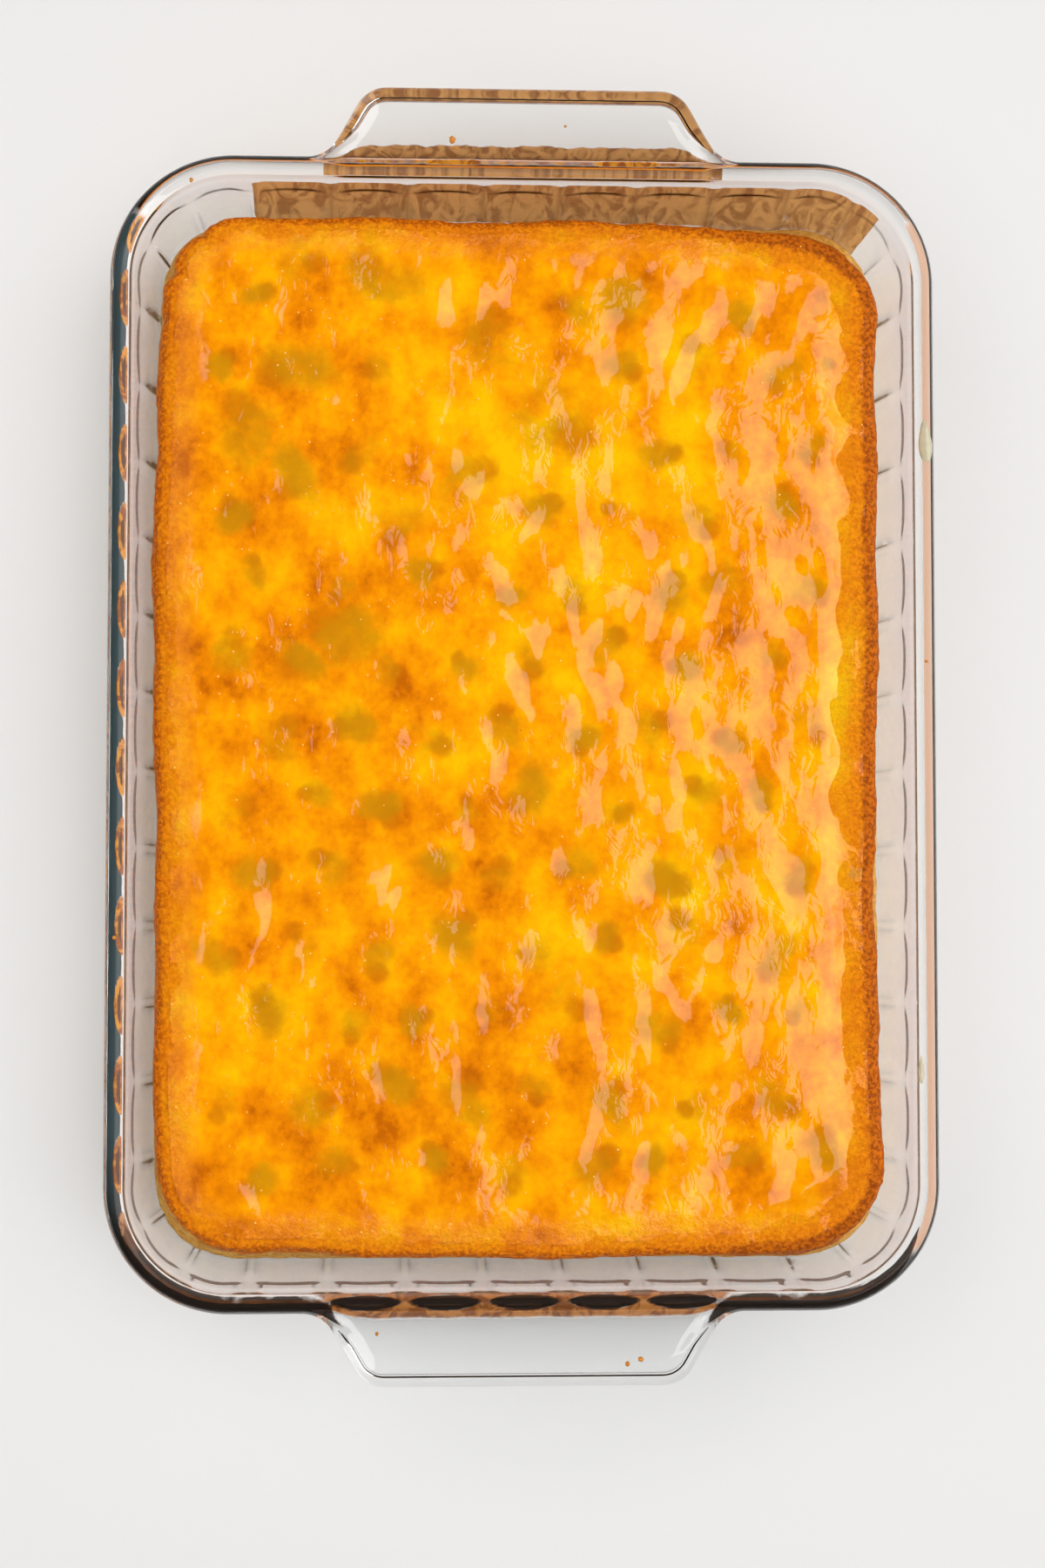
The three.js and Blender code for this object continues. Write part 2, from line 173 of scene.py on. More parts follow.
# %% Rounded foot between a drafted wall and a level floor
def foot_rounding(wall_inset, floor_height, radius, steps):
    """Insets and heights from the floor up to where the wall starts."""
    centre_height = floor_height + radius
    touch = centre_height - radius * math.sin(WALL_DRAFT)
    centre_inset = (radius * math.cos(WALL_DRAFT) + wall_inset
                    + (RIM_UNDERSIDE - touch) * math.tan(WALL_DRAFT))
    angle = np.linspace(math.pi / 2, WALL_DRAFT, steps + 1)
    return centre_inset - radius * np.cos(angle), centre_height - radius * np.sin(angle)


def foot_rings(ring_at, wall_inset, floor_height, radius, steps):
    """The rounded foot as rings, from the floor up."""
    insets, heights = foot_rounding(wall_inset, floor_height, radius, steps)
    return [ring_at(inset, height) for inset, height in zip(insets, heights)]


def wall_inset_at(wall_inset, height):
    """How far in a drafted wall stands at a height."""
    return wall_inset + (RIM_UNDERSIDE - height) * math.tan(WALL_DRAFT)


# %% How far the tab handles stand out
HANDLE_BASE_HALF = 57.4
HANDLE_TIP_HALF = 45.9
HANDLE_ROUNDING = 10.0
PILLOWS = 48
STEPS_A_PILLOW = 18
dish_turn = np.arange(PILLOWS * STEPS_A_PILLOW) / (PILLOWS * STEPS_A_PILLOW)
dish_x, dish_y, dish_nx, dish_ny = outline(RIM_HALF_X, RIM_HALF_Y, CORNER_RADIUS, dish_turn)


def tab_reach(x):
    """A trapezoid with rounded corners, as how far it stands out at each x."""
    across = np.abs(x)
    slant_run = HANDLE_BASE_HALF - HANDLE_TIP_HALF
    slant_angle = math.atan2(HANDLE_REACH, slant_run)
    corner_run = HANDLE_ROUNDING * math.tan(slant_angle / 2)
    arc_run = HANDLE_ROUNDING * math.sin(slant_angle)
    tip_start = HANDLE_TIP_HALF - corner_run
    root_end = HANDLE_BASE_HALF + corner_run
    into_tip = np.clip(across - tip_start, 0, arc_run)
    into_root = np.clip(root_end - across, 0, arc_run)
    tip_arc = HANDLE_REACH - HANDLE_ROUNDING + np.sqrt(HANDLE_ROUNDING ** 2 - into_tip ** 2)
    root_arc = HANDLE_ROUNDING - np.sqrt(HANDLE_ROUNDING ** 2 - into_root ** 2)
    slant = HANDLE_REACH * (HANDLE_BASE_HALF - across) / slant_run
    past_slant = np.where(across > root_end - arc_run, root_arc, slant)
    return np.where(across < tip_start + arc_run, tip_arc, past_slant)


def tab_slope(x):
    """How much further out the tab's edge lies after one millimetre along the rim."""
    return tab_reach(x + 0.5) - tab_reach(x - 0.5)


on_short_side = np.abs(dish_ny) > 0.999
reach = np.where(on_short_side, tab_reach(dish_x), 0.0)
slope = np.where(on_short_side, tab_slope(dish_x), 0.0)
slant_length = np.sqrt(1 + slope ** 2)
print("tabs reach", round(float(reach.max()), 2), "mm")

# %% Rows over the rim and the tabs
# Each row has its inset and height on the bare bead, then on a tab: the share that it is carried out,
# a distance back, and its height. A row with share 1 follows the tab's edge, that distance inside it.
# A row with a smaller share lies between the rim and the innermost of those rows.
# Inside the tab's lip the top sinks in a shallow dip that follows the distance from the tab's edge.
TAB_TOP = DISH_HEIGHT - 2.0
TAB_RECESS = DISH_HEIGHT - 5.8
TAB_LIP = DISH_HEIGHT - 8.4
TAB_DIP = 1.1
DIP_FROM_EDGE = (1.6, 8.0)
DIP_FROM_RIM = (1.5, 8.0)
INNERMOST_ABOVE = 6.8
INNERMOST_BELOW = 3.6
MOST_STEP_BACK = 0.36
TOP = DISH_HEIGHT
RIM_ROWS = [
    (2.00, RIM_UNDERSIDE, 0.00, 2.0, RIM_UNDERSIDE),
    (1.75, RIM_UNDERSIDE + 0.25, 0.00, 1.7, TAB_RECESS - 1.6),
    (1.35, RIM_UNDERSIDE + 0.55, 0.05, 1.0, TAB_RECESS - 0.5),
    (1.00, RIM_UNDERSIDE + 0.90, 0.12, 0.3, TAB_RECESS),
    (0.72, RIM_UNDERSIDE + 1.30, 0.33, 0.0, TAB_RECESS + 0.1),
    (0.50, RIM_UNDERSIDE + 1.75, 0.74, 0.0, TAB_RECESS),
    (0.33, RIM_UNDERSIDE + 2.25, 1.00, 3.6, TAB_RECESS + 0.3),
    (0.20, RIM_UNDERSIDE + 2.80, 1.00, 2.8, TAB_RECESS - 0.4),
    (0.10, RIM_UNDERSIDE + 3.35, 1.00, 2.5, TAB_LIP + 0.8),
    (0.04, RIM_UNDERSIDE + 3.95, 1.00, 1.5, TAB_LIP),
    (0.00, RIM_UNDERSIDE + 4.55, 1.00, 0.5, TAB_LIP + 0.7),
    (0.00, TOP - 3.70, 1.00, 0.2, TAB_LIP + 1.8),
    (0.06, TOP - 3.20, 1.00, 0.0, TAB_LIP + 2.5),
    (0.18, TOP - 2.65, 1.00, 0.0, TAB_LIP + 3.9),
    (0.38, TOP - 2.10, 1.00, 0.3, TAB_TOP - 1.3),
    (0.65, TOP - 1.55, 1.00, 0.9, TAB_TOP - 0.45),
    (0.80, TOP - 1.28, 1.00, 1.6, TAB_TOP),
    (0.90, TOP - 1.16, 1.00, 2.7, TAB_TOP),
    (1.00, TOP - 1.04, 1.00, 4.0, TAB_TOP),
    (1.12, TOP - 0.92, 1.00, 5.4, TAB_TOP),
    (1.26, TOP - 0.78, 1.00, 6.8, TAB_TOP),
    (1.42, TOP - 0.64, 0.78, 0.1, TAB_TOP),
    (1.58, TOP - 0.54, 0.50, 0.4, TAB_TOP),
    (1.75, TOP - 0.42, 0.20, 0.7, TAB_TOP),
    (2.00, TOP - 0.28, 0.04, 1.0, TAB_TOP + 0.5),
    (2.30, TOP - 0.15, 0.00, 1.6, TAB_TOP + 1.3),
    (2.70, TOP - 0.05, 0.00, 2.4, TOP - 0.15),
    (3.15, TOP, 0.00, 3.1, TOP),
    (3.65, TOP - 0.08, 0.00, 3.65, TOP - 0.08),
    (4.20, TOP - 0.30, 0.00, 4.20, TOP - 0.30),
    (4.75, TOP - 0.75, 0.00, 4.75, TOP - 0.75),
    (5.20, TOP - 1.35, 0.00, 5.20, TOP - 1.35),
    (5.55, TOP - 2.10, 0.00, 5.55, TOP - 2.10),
    (5.80, TOP - 2.80, 0.00, 5.80, TOP - 2.80),
    (6.15, TOP - 3.20, 0.00, 6.15, TOP - 3.20),
]
# %% Rings of the dish
on_tab = smooth_step(reach, 0.0, 12.0)
TAB_EDGE_END = 66
TAB_EDGE_POINTS = 529
tab_edge_x = np.linspace(-TAB_EDGE_END, TAB_EDGE_END, TAB_EDGE_POINTS)
tab_edge_out = tab_reach(tab_edge_x)


def tab_dip(x, y):
    """How far the top of a tab sinks at each point."""
    out = np.abs(y) - RIM_HALF_Y
    from_edge = np.hypot(x[:, None] - tab_edge_x, out[:, None] - tab_edge_out).min(1)
    return TAB_DIP * smooth_step(from_edge, *DIP_FROM_EDGE) * smooth_step(out, *DIP_FROM_RIM)


def dish_ring(inset, height, sideways=0.0):
    """A ring of the dish, the given distance inside the rim's outline."""
    reach_from_centre = CORNER_RADIUS - inset
    x = dish_x + dish_nx * reach_from_centre + sideways
    y = dish_y + dish_ny * reach_from_centre
    return np.stack([x, y, np.broadcast_to(height, x.shape)], -1)


def rim_ring(bead_inset, bead_height, carried, back, tab_height):
    """On a tab a row steps back square to the tab's edge; on the bead it steps back square to the rim."""
    innermost = INNERMOST_ABOVE if tab_height > TAB_RECESS + 1 else INNERMOST_BELOW
    edge_distance = back if carried == 1.0 else innermost
    step_back = np.minimum(edge_distance / slant_length, MOST_STEP_BACK * reach)
    from_rim_line = 0.0 if carried == 1.0 else back
    inset = bead_inset + (from_rim_line - bead_inset) * on_tab - carried * (reach - step_back)
    height = bead_height + (tab_height - bead_height) * on_tab
    ring = dish_ring(inset, height, carried * step_back * slope * on_tab)
    if tab_height == TAB_TOP:
        ring[:, 2] -= tab_dip(ring[:, 0], ring[:, 1])
    return ring


# %% Skin the dish
FLOOR_SCALES = [0.97, 0.92, 0.84, 0.72, 0.56, 0.36, 0.16]
FOOT_STEPS = 9
inner_inset = BEAD_OVERHANG + WALL_THICKNESS
outer_foot = foot_rings(dish_ring, BEAD_OVERHANG, 0.0, BASE_OUTER_RADIUS, FOOT_STEPS)
inner_foot = foot_rings(dish_ring, inner_inset, BASE_THICKNESS, BASE_INNER_RADIUS, FOOT_STEPS)[::-1]
dish_rings = inward_rings(outer_foot[0], FLOOR_SCALES[::-1], level_at(0.0)) + outer_foot
WALL_ROWS = np.concatenate([np.linspace(12.5, 30.5, 9), np.linspace(31.0, 40.0, 19),
                            np.linspace(41.0, RIM_UNDERSIDE - 0.5, 6)])
for height in WALL_ROWS:
    dish_rings.append(dish_ring(wall_inset_at(BEAD_OVERHANG, height), height))
for row in RIM_ROWS:
    dish_rings.append(rim_ring(*row))
for height in np.linspace(TOP - 5.0, 18.5, 8):
    dish_rings.append(dish_ring(wall_inset_at(inner_inset, height), height))
dish_rings += inner_foot
dish_rings += inward_rings(inner_foot[-1], FLOOR_SCALES, level_at(BASE_THICKNESS))
glass_dish = loft_mesh("glass_dish", np.stack(dish_rings))
print("dish loft:", len(dish_rings), "rings,", len(glass_dish.data.polygons), "faces")

# %% [markdown]
# ## Node trees written as Python
# Shader and Geometry Nodes maths reads badly as a list of nodes. So a small class wraps an output
# socket, and adding or multiplying two of them adds a Math node. One method adds any other node.

# %% A small language for node trees
class Wire:
    """An output socket whose arithmetic adds Math nodes to its tree."""

    def __init__(self, maker, socket):
        self.maker = maker
        self.socket = socket

    def math(self, operation, first, second=0.0, third=0.0):
        inputs = {0: first, 1: second, 2: third}
        return self.maker.wire("ShaderNodeMath", {"operation": operation}, inputs)

    def __add__(self, other):
        return self.math("ADD", self, other)

    def __radd__(self, other):
        return self.math("ADD", other, self)

    def __sub__(self, other):
        return self.math("SUBTRACT", self, other)

    def __rsub__(self, other):
        return self.math("SUBTRACT", other, self)

    def __mul__(self, other):
        return self.math("MULTIPLY", self, other)

    def __rmul__(self, other):
        return self.math("MULTIPLY", other, self)

    def __pow__(self, other):
        return self.math("POWER", self, other)

    def soft_between(self, low, high):
        settings = {"interpolation_type": "SMOOTHSTEP"}
        inputs = {"Value": self, "From Min": low, "From Max": high}
        return self.maker.wire("ShaderNodeMapRange", settings, inputs)


# %% Add nodes to a tree
class Maker:
    """Adds nodes to one tree: settings are set first, then the sockets' values or links."""

    def __init__(self, tree):
        self.tree = tree

    def node(self, kind, settings=None, inputs=None):
        made = self.tree.nodes.new(kind)
        for name, value in (settings or {}).items():
            if name == "stops":
                self.set_stops(made.color_ramp, value)
            else:
                setattr(made, name, value)
        for key, value in (inputs or {}).items():
            if isinstance(value, Wire):
                self.tree.links.new(value.socket, made.inputs[key])
            else:
                made.inputs[key].default_value = value
        return made

    def wire(self, kind, settings=None, inputs=None, output=0):
        return Wire(self, self.node(kind, settings, inputs).outputs[output])

    def set_stops(self, ramp, stops):
        while len(ramp.elements) < len(stops):
            ramp.elements.new(0.5)
        for element, (place, colour) in zip(ramp.elements, stops):
            element.position = place
            element.color = (*colour, 1.0)

    def mix(self, factor, first, second):
        """A colour between two colours; plain triples are taken as linear colours."""
        inputs = {0: factor}
        for index, colour in ((6, first), (7, second)):
            inputs[index] = colour if isinstance(colour, Wire) else (*colour, 1.0)
        return self.wire("ShaderNodeMix", {"data_type": "RGBA"}, inputs, output=2)

    def noise(self, place, size, detail=2.0, roughness=0.5, distortion=0.0):
        """Soft noise from 0 to 1 with lumps of about the given size in metres."""
        inputs = {"Vector": place, "Scale": 1.0 / size, "Detail": detail,
                  "Roughness": roughness, "Distortion": distortion}
        return self.wire("ShaderNodeTexNoise", {}, inputs)

    def stretched(self, place, stretch, turn=(0, 0, 0)):
        """The same coordinates squeezed along each axis, so that a pattern on them is drawn out."""
        return self.wire("ShaderNodeMapping", {}, {"Vector": place, "Scale": stretch, "Rotation": turn})

    def coordinate(self, place, axis):
        """One of the three coordinates of a place or a direction."""
        parts = self.node("ShaderNodeSeparateXYZ", {}, {"Vector": place})
        return Wire(self, parts.outputs[axis])

    def attribute(self, name):
        """A number that the mesh carries at each of its points."""
        return self.wire("ShaderNodeAttribute", {"attribute_name": name}, {}, output="Fac")

    def bump(self, height, strength, distance):
        """A shading normal from relief that the mesh itself doesn't have."""
        inputs = {"Strength": strength, "Distance": distance, "Height": height}
        return self.wire("ShaderNodeBump", {}, inputs)

    def overlaid(self, share, under, over):
        """One shader with a share of another laid over it."""
        return self.wire("ShaderNodeMixShader", {}, {0: share, 1: under, 2: over})


# %% Start and end a material
def new_material(name):
    """An empty material with its maker and its object coordinates."""
    material = bpy.data.materials.new(name)
    material.use_nodes = True
    material.node_tree.nodes.clear()
    maker = Maker(material.node_tree)
    return material, maker, maker.wire("ShaderNodeTexCoord", {}, {}, output="Object")


def set_surface(maker, shader):
    """Ends a material's tree in its output node."""
    output = maker.node("ShaderNodeOutputMaterial")
    maker.tree.links.new(shader.socket, output.inputs["Surface"])


def two_tone_material(name, lump_size, first, second, roughness, detail=2.0):
    """A finish whose colour drifts between two tones in lumps of the given size."""
    material, maker, place = new_material(name)
    tone = maker.mix(maker.noise(place, lump_size, detail=detail), first, second)
    inputs = {"Base Color": tone, "Roughness": roughness}
    set_surface(maker, maker.wire("ShaderNodeBsdfPrincipled", {}, inputs))
    return material


# %% Start, end and run a Geometry Nodes tree
def run_geometry_tree(carrier, tree, values):
    """Runs a Geometry Nodes tree on an object with its named inputs, and keeps the result as mesh."""
    modifier = carrier.modifiers.new("Tree", "NODES")
    modifier.node_group = tree
    identifiers = {item.name: item.identifier for item in tree.interface.items_tree
                   if item.item_type == "SOCKET" and item.in_out == "INPUT"}
    for name, value in values.items():
        modifier[identifiers[name]] = value
    depsgraph = bpy.context.evaluated_depsgraph_get()
    made = bpy.data.meshes.new_from_object(carrier.evaluated_get(depsgraph))
    carrier.modifiers.remove(modifier)
    carrier.data = made
    return carrier


def new_geometry_tree(name, inputs):
    """A Geometry Nodes tree with a geometry input and output and the named number inputs."""
    tree = bpy.data.node_groups.new(name, "GeometryNodeTree")
    tree.interface.new_socket("Geometry", in_out="INPUT", socket_type="NodeSocketGeometry")
    for label, kind in inputs.items():
        tree.interface.new_socket(label, in_out="INPUT", socket_type=kind)
    tree.interface.new_socket("Geometry", in_out="OUTPUT", socket_type="NodeSocketGeometry")
    maker = Maker(tree)
    entry = tree.nodes.new("NodeGroupInput")
    wires = {socket.name: Wire(maker, socket) for socket in entry.outputs if socket.name}
    return tree, maker, wires


def finish_geometry_tree(maker, geometry, material):
    """Ends a tree in Realize Instances and Set Material."""
    real = maker.wire("GeometryNodeRealizeInstances", {}, {"Geometry": geometry})
    painted = maker.wire("GeometryNodeSetMaterial", {}, {"Geometry": real, "Material": material})
    output = maker.tree.nodes.new("NodeGroupOutput")
    maker.tree.links.new(painted.socket, output.inputs[0])


# %% [markdown]
# ## Clear glass
# Glass is a Principled shader with full transmission. Two things keep it from looking like plastic
# film: a slow bump, because pressed glass is never quite flat, and a tint so faint that it only shows
# along the rim. Real glass also mirrors and bends what stands round it, and draws brown, orange and
# nearly black bands along its rim and its far wall. A plain studio has little to mirror, so these bands
# are painted reflections. The mesh says where the bands are, which the next step works out, and the
# material gives them their tones. The brown band, a painted reflection of the browned cake and of the
# room beyond the far handle, browns the light that comes through. The warm and the dark bands lie over
# the glass as thin matt painted reflections of the cake and of the dark room. A faint pale painted
# light brightens the inside of the wall. A lamp would cast a black shadow through glass, so the shadow
# ray alone sees a Transparent shader.

# %% Read the bands from the mesh
def read_bands(maker, place):
    """Each band with a ragged edge, and the streaks that run through them."""
    wave = maker.noise(place, 0.005, detail=3.0) - 0.5
    drawn_out = maker.stretched(place, (1.0, 1.0, 0.30))
    return {
        "film": (maker.attribute("film") + wave * 0.6).soft_between(0.42, 0.54),
        "dark": (maker.attribute("dark") + wave * 0.9).soft_between(0.30, 0.62),
        "glow": (maker.attribute("glow") + wave * 0.5).soft_between(0.15, 0.60),
        "rib": maker.attribute("rib"),
        "haze": maker.attribute("haze"),
        "grain": maker.noise(drawn_out, 0.007, detail=5.0, distortion=2.2),
        "past_near_end": maker.coordinate(place, "Y").soft_between(-0.150, -0.115),
    }


# %% Make the glass
def clear_glass(maker, place, bands):
    """The glass that light goes through, tinted brown under the painted brown reflection and nearly black
    under the painted dark reflections.
    """
    slow = maker.noise(place, 0.022, detail=2.0, roughness=0.4)
    fine = maker.noise(place, 0.0035, detail=2.0)
    # The brown here is a painted reflection of the browned cake, drawn out in streaks.
    streaks = bands["grain"].soft_between(0.38, 0.60)
    browned = maker.mix(streaks, (0.15, 0.028, 0.004), (0.51, 0.140, 0.019))
    # Darker streaks along the grooves, in the painted brown reflection.
    ribbed = maker.mix(bands["rib"] * 0.7, browned, (0.07, 0.016, 0.003))
    with_brown_reflection = maker.mix(bands["film"], (0.988, 0.994, 0.990), ribbed)
    shade = maker.mix(bands["past_near_end"], (0.035, 0.018, 0.009), (0.130, 0.185, 0.200))
    tint = maker.mix(bands["dark"] * 0.94, with_brown_reflection, shade)
    return maker.wire("ShaderNodeBsdfPrincipled", {}, {
        "Base Color": tint, "Roughness": 0.0, "IOR": 1.5, "Transmission Weight": 1.0,
        "Normal": maker.bump(slow + fine * 0.08, 0.12, 0.0008)})


def mirrored_bands(maker, place, bands):
    """The painted matt tones that lie over the glass: a pale painted light, warm painted reflections and
    nearly black painted reflections at the edges.
    """
    rightward = maker.coordinate(place, "X").soft_between(0.085, 0.112)
    streaks = bands["grain"].soft_between(0.40, 0.60)
    near_tone = maker.mix(streaks, (0.17, 0.055, 0.014), (0.40, 0.160, 0.040))
    far_tone = maker.mix(streaks, (0.25, 0.065, 0.007), (0.62, 0.250, 0.018))
    warm = maker.mix(rightward, maker.mix(bands["past_near_end"], near_tone, far_tone), (0.66, 0.42, 0.29))
    pale_and_warm_tone = maker.mix(bands["glow"], (0.86, 0.83, 0.81), warm)
    deep = maker.mix(bands["past_near_end"], (0.010, 0.006, 0.004), (0.034, 0.056, 0.062))
    deep = maker.mix(bands["glow"] * 0.85, deep, (0.105, 0.036, 0.009))
    tone = maker.mix(bands["dark"], pale_and_warm_tone, deep)
    return maker.wire("ShaderNodeBsdfPrincipled", {}, {
        "Base Color": tone, "Roughness": 0.3, "Specular IOR Level": 0.15})


def make_glass():
    material, maker, place = new_material("pressed_glass")
    bands = read_bands(maker, place)
    covered = bands["dark"].math("MAXIMUM", bands["dark"] * 0.8, bands["glow"] * 0.85)
    glass = clear_glass(maker, place, bands)
    banded = maker.overlaid(covered + bands["haze"] * 0.12, glass, mirrored_bands(maker, place, bands))
    shadowless = maker.wire("ShaderNodeBsdfTransparent", {}, {"Color": (0.996, 0.998, 0.995, 1.0)})
    shadow_ray = maker.wire("ShaderNodeLightPath", {}, {}, output="Is Shadow Ray")
    set_surface(maker, maker.overlaid(shadow_ray, banded, shadowless))
    return material


glass_material = make_glass()
print("made", glass_material.name)

# %% [markdown]
# ## Where the pillows and the bands are
# A material or a node tree can only follow the dish if the mesh tells it where it is. So each point
# gets a few numbers: how far round it is, whether it lies on the outer wall, and how strong each painted
# band of reflection and of brightening is there. The bands could also be painted by hand in Texture
# Paint, but would have to be painted again after each change of the rim.

# %% Numbers that a loft carries
LOFT_ENDS = 2


def add_float_attribute(piece, name, *grids):
    """Gives each point of a loft a number, ring by ring, and 0 to the two points that close it."""
    values = np.concatenate([grid.ravel() for grid in grids] + [np.zeros(LOFT_ENDS)])
    attribute = piece.data.attributes.new(name, "FLOAT", "POINT")
    attribute.data.foreach_set("value", values.astype(np.float32))


def add_direction_attribute(piece, name, directions, rows):
    """Gives each point a direction, the same on every ring, and none to the two points that close it."""
    values = np.concatenate([np.tile(directions, (rows, 1)), np.zeros((LOFT_ENDS, 3))])
    attribute = piece.data.attributes.new(name, "FLOAT_VECTOR", "POINT")
    attribute.data.foreach_set("vector", values.astype(np.float32).ravel())


# %% Where each point of the dish is
FIRST_WALL_RING = len(FLOOR_SCALES)
FIRST_RIM_RING = FIRST_WALL_RING + len(outer_foot) + len(WALL_ROWS)
PAST_RIM_RING = FIRST_RIM_RING + len(RIM_ROWS)
dish_z = np.stack([ring[:, 2] for ring in dish_rings])
on_outer_wall = np.zeros_like(dish_z)
on_outer_wall[FIRST_WALL_RING:FIRST_RIM_RING] = 1.0
from_middle = np.abs((dish_turn * PILLOWS + 0.5) % 1 * 2 - 1)
at_left = smooth_step(-dish_nx, 0.75, 0.95)
at_right = smooth_step(dish_nx, 0.75, 0.95)
at_near = smooth_step(-dish_ny, 0.75, 0.95)
near_left = smooth_step(-dish_nx, 0.05, 0.30) * smooth_step(-dish_ny, 0.25, 0.60)
pillow_step = np.broadcast_to(0.25 + at_near * (0.75 - smooth_step(from_middle, 0.55, 0.80)), dish_z.shape)

# %% The painted brown reflection on the far wall and its handle
# In millimetres. Towards the right corner the painted brown reflection hangs lower, and it ends short of
# both corners.
BROWN_REFLECTION_HIGH = 43.2
BROWN_REFLECTION_ARCH = 1.2
BROWN_REFLECTION_LOW = 14.0
BROWN_REFLECTION_FADE = 8.0
BROWN_REFLECTION_SLUMP = 9.0
BROWN_REFLECTION_FROM = -79.0
BROWN_REFLECTION_TO = 93.0
TAB_ROOT_ROWS = slice(FIRST_RIM_RING + 1, FIRST_RIM_RING + 4)
TAB_EDGE_ROWS = slice(FIRST_RIM_RING + 7, FIRST_RIM_RING + 14)
brown_reflection_span = smooth_step(dish_x, BROWN_REFLECTION_FROM - 2, BROWN_REFLECTION_FROM + 1) - smooth_step(dish_x, BROWN_REFLECTION_TO - 4, BROWN_REFLECTION_TO)
brown_reflection_high = BROWN_REFLECTION_HIGH - BROWN_REFLECTION_ARCH * from_middle ** 4
brown_reflection_low = BROWN_REFLECTION_LOW - BROWN_REFLECTION_SLUMP * smooth_step(dish_x, 50.0, 75.0)
brown_reflection_rise = smooth_step(dish_z, brown_reflection_low, brown_reflection_low + BROWN_REFLECTION_FADE)
film = brown_reflection_rise * (1 - smooth_step(dish_z, brown_reflection_high - 0.5, brown_reflection_high + 0.3))
film = film * on_outer_wall * brown_reflection_span * (dish_ny > 0.7)
on_far_tab = np.where(dish_ny > 0.7, smooth_step(reach, 0.2, 2.5), 0.0)
film[TAB_ROOT_ROWS] = on_far_tab
film[TAB_EDGE_ROWS] = on_far_tab

# %% Masks on the rim, for its painted reflections
rim_inset = np.array([row[0] for row in RIM_ROWS])[:, None]
LAST_UNDER_ROW = 13
rim_upper = (np.arange(len(RIM_ROWS)) > LAST_UNDER_ROW)[:, None]


def rim_between(low, high):
    """1 on the rim's upper rows whose inset lies between the two."""
    return rim_upper * (rim_inset > low) * (rim_inset < high)


def rim_ellipse(middle, half_width, along, half_length):
    """1 in an ellipse on the rim's upper rows: middle and half width are insets."""
    out = ((rim_inset - middle) / half_width) ** 2 + (along / half_length) ** 2
    return rim_upper * (1 - smooth_step(out, 0.7, 1.25))


def strongest(*masks):
    """The greatest of several masks at each point."""
    return np.maximum.reduce(masks)


near_right_start = 1.1 + 3.2 * (1 - smooth_step(-dish_ny, 0.30, 0.85))
near_right = smooth_step(dish_nx, 0.05, 0.30) * smooth_step(rim_inset - near_right_start, -0.3, 0.3)
near_right = near_right * (dish_ny < -0.2)
near_tab = at_near * smooth_step(reach + 1.2 * (rim_inset - 3.6), 0.5, 6.0)
beside_near_tab = at_near - near_tab
scallops = rim_ellipse(5.2, 2.1, 1 - from_middle, 0.74)
scallop_cores = rim_ellipse(5.5, 1.6, 1 - from_middle, 0.56)
spots = rim_between(2.2, 5.6) * rim_ellipse(3.7, 1.65, from_middle, 0.92)

# %% The painted dark and warm reflections on the rim
# These bands are painted reflections: the dark ones of the dark room, the warm ones of the cake. Dark,
# in order: the left side round its scallops, the spots at the near handle's root, the near rim beside
# it, the near left corner and the near right one. Warm, in order: the scallops, a line along the outer
# edge, the right side, the ground of the spots, a faint line through the dark near rim, the far
# handle's root and the two lenses on the far rim.
FAR_LENSES = [(-21.0, 9.5), (30.0, 11.0)]
far_lenses = [rim_ellipse(2.5, 0.36, dish_x - middle, half_length) * (dish_ny > 0.999)
              for middle, half_length in FAR_LENSES]
rim_dark = strongest(
    rim_between(1.3, 4.9) * at_left * (1 - scallops * (1 - 0.75 * scallop_cores)),
    spots * near_tab,
    rim_between(1.1, 5.3) * beside_near_tab * (1 - 0.4 * scallops),
    rim_between(1.1, 5.3) * near_left,
    rim_between(0.9, 4.3) * near_right)
rim_glow = strongest(
    rim_between(1.5, 5.3) * at_left * scallops,
    rim_between(0.3, 0.85) * np.maximum(at_left, near_left) * 0.5,
    rim_between(1.5, 4.1) * at_right,
    rim_between(1.9, 5.6) * near_tab * (1 - spots),
    rim_between(3.6, 4.7) * np.maximum(near_left, beside_near_tab) * 0.42,
    rim_between(2.2, 2.8) * on_far_tab * 0.50,
    *far_lenses)

# %% Write the numbers on the mesh
dark = np.zeros_like(film)
glow = np.zeros_like(film)
haze = np.zeros_like(film)
dark[FIRST_RIM_RING:PAST_RIM_RING] = rim_dark
glow[FIRST_RIM_RING:PAST_RIM_RING] = rim_glow
# A faint pale painted light that brightens the inner wall, all but at the far end.
haze[PAST_RIM_RING:-len(FLOOR_SCALES)] = 1 - smooth_step(dish_ny, 0.3, 0.7)
# rib marks the grooves, where the painted brown reflection is darker.
rib = on_outer_wall * smooth_step(from_middle, 0.86, 0.98)
for name, values in (("film", film), ("glow", glow), ("rib", rib), ("dark", dark), ("haze", haze),
                     ("pillow_step", pillow_step), ("outer_wall", on_outer_wall),
                     ("pillow_turn", np.tile(dish_turn, len(dish_rings)))):
    add_float_attribute(glass_dish, name, values)
inward = np.stack([-dish_nx, -dish_ny, np.zeros_like(dish_nx)], -1)
add_direction_attribute(glass_dish, "inward", inward, len(dish_rings))
print("bands: film on", int((film > 0.5).sum()), "points, dark on", int((dark > 0.5).sum()))

# %% [markdown]
# ## Pillows pressed into the wall
# The outside of the wall swells in a row of soft pillows with narrow grooves between them. The grooves
# run out towards the base and the rim, and above the pillows the wall steps in a little, most at the
# near end. The row repeats all the way round, so it is a job for Geometry Nodes: the tree reads each
# point's numbers and pushes it in by a rule. Carving would take a cut for each groove.

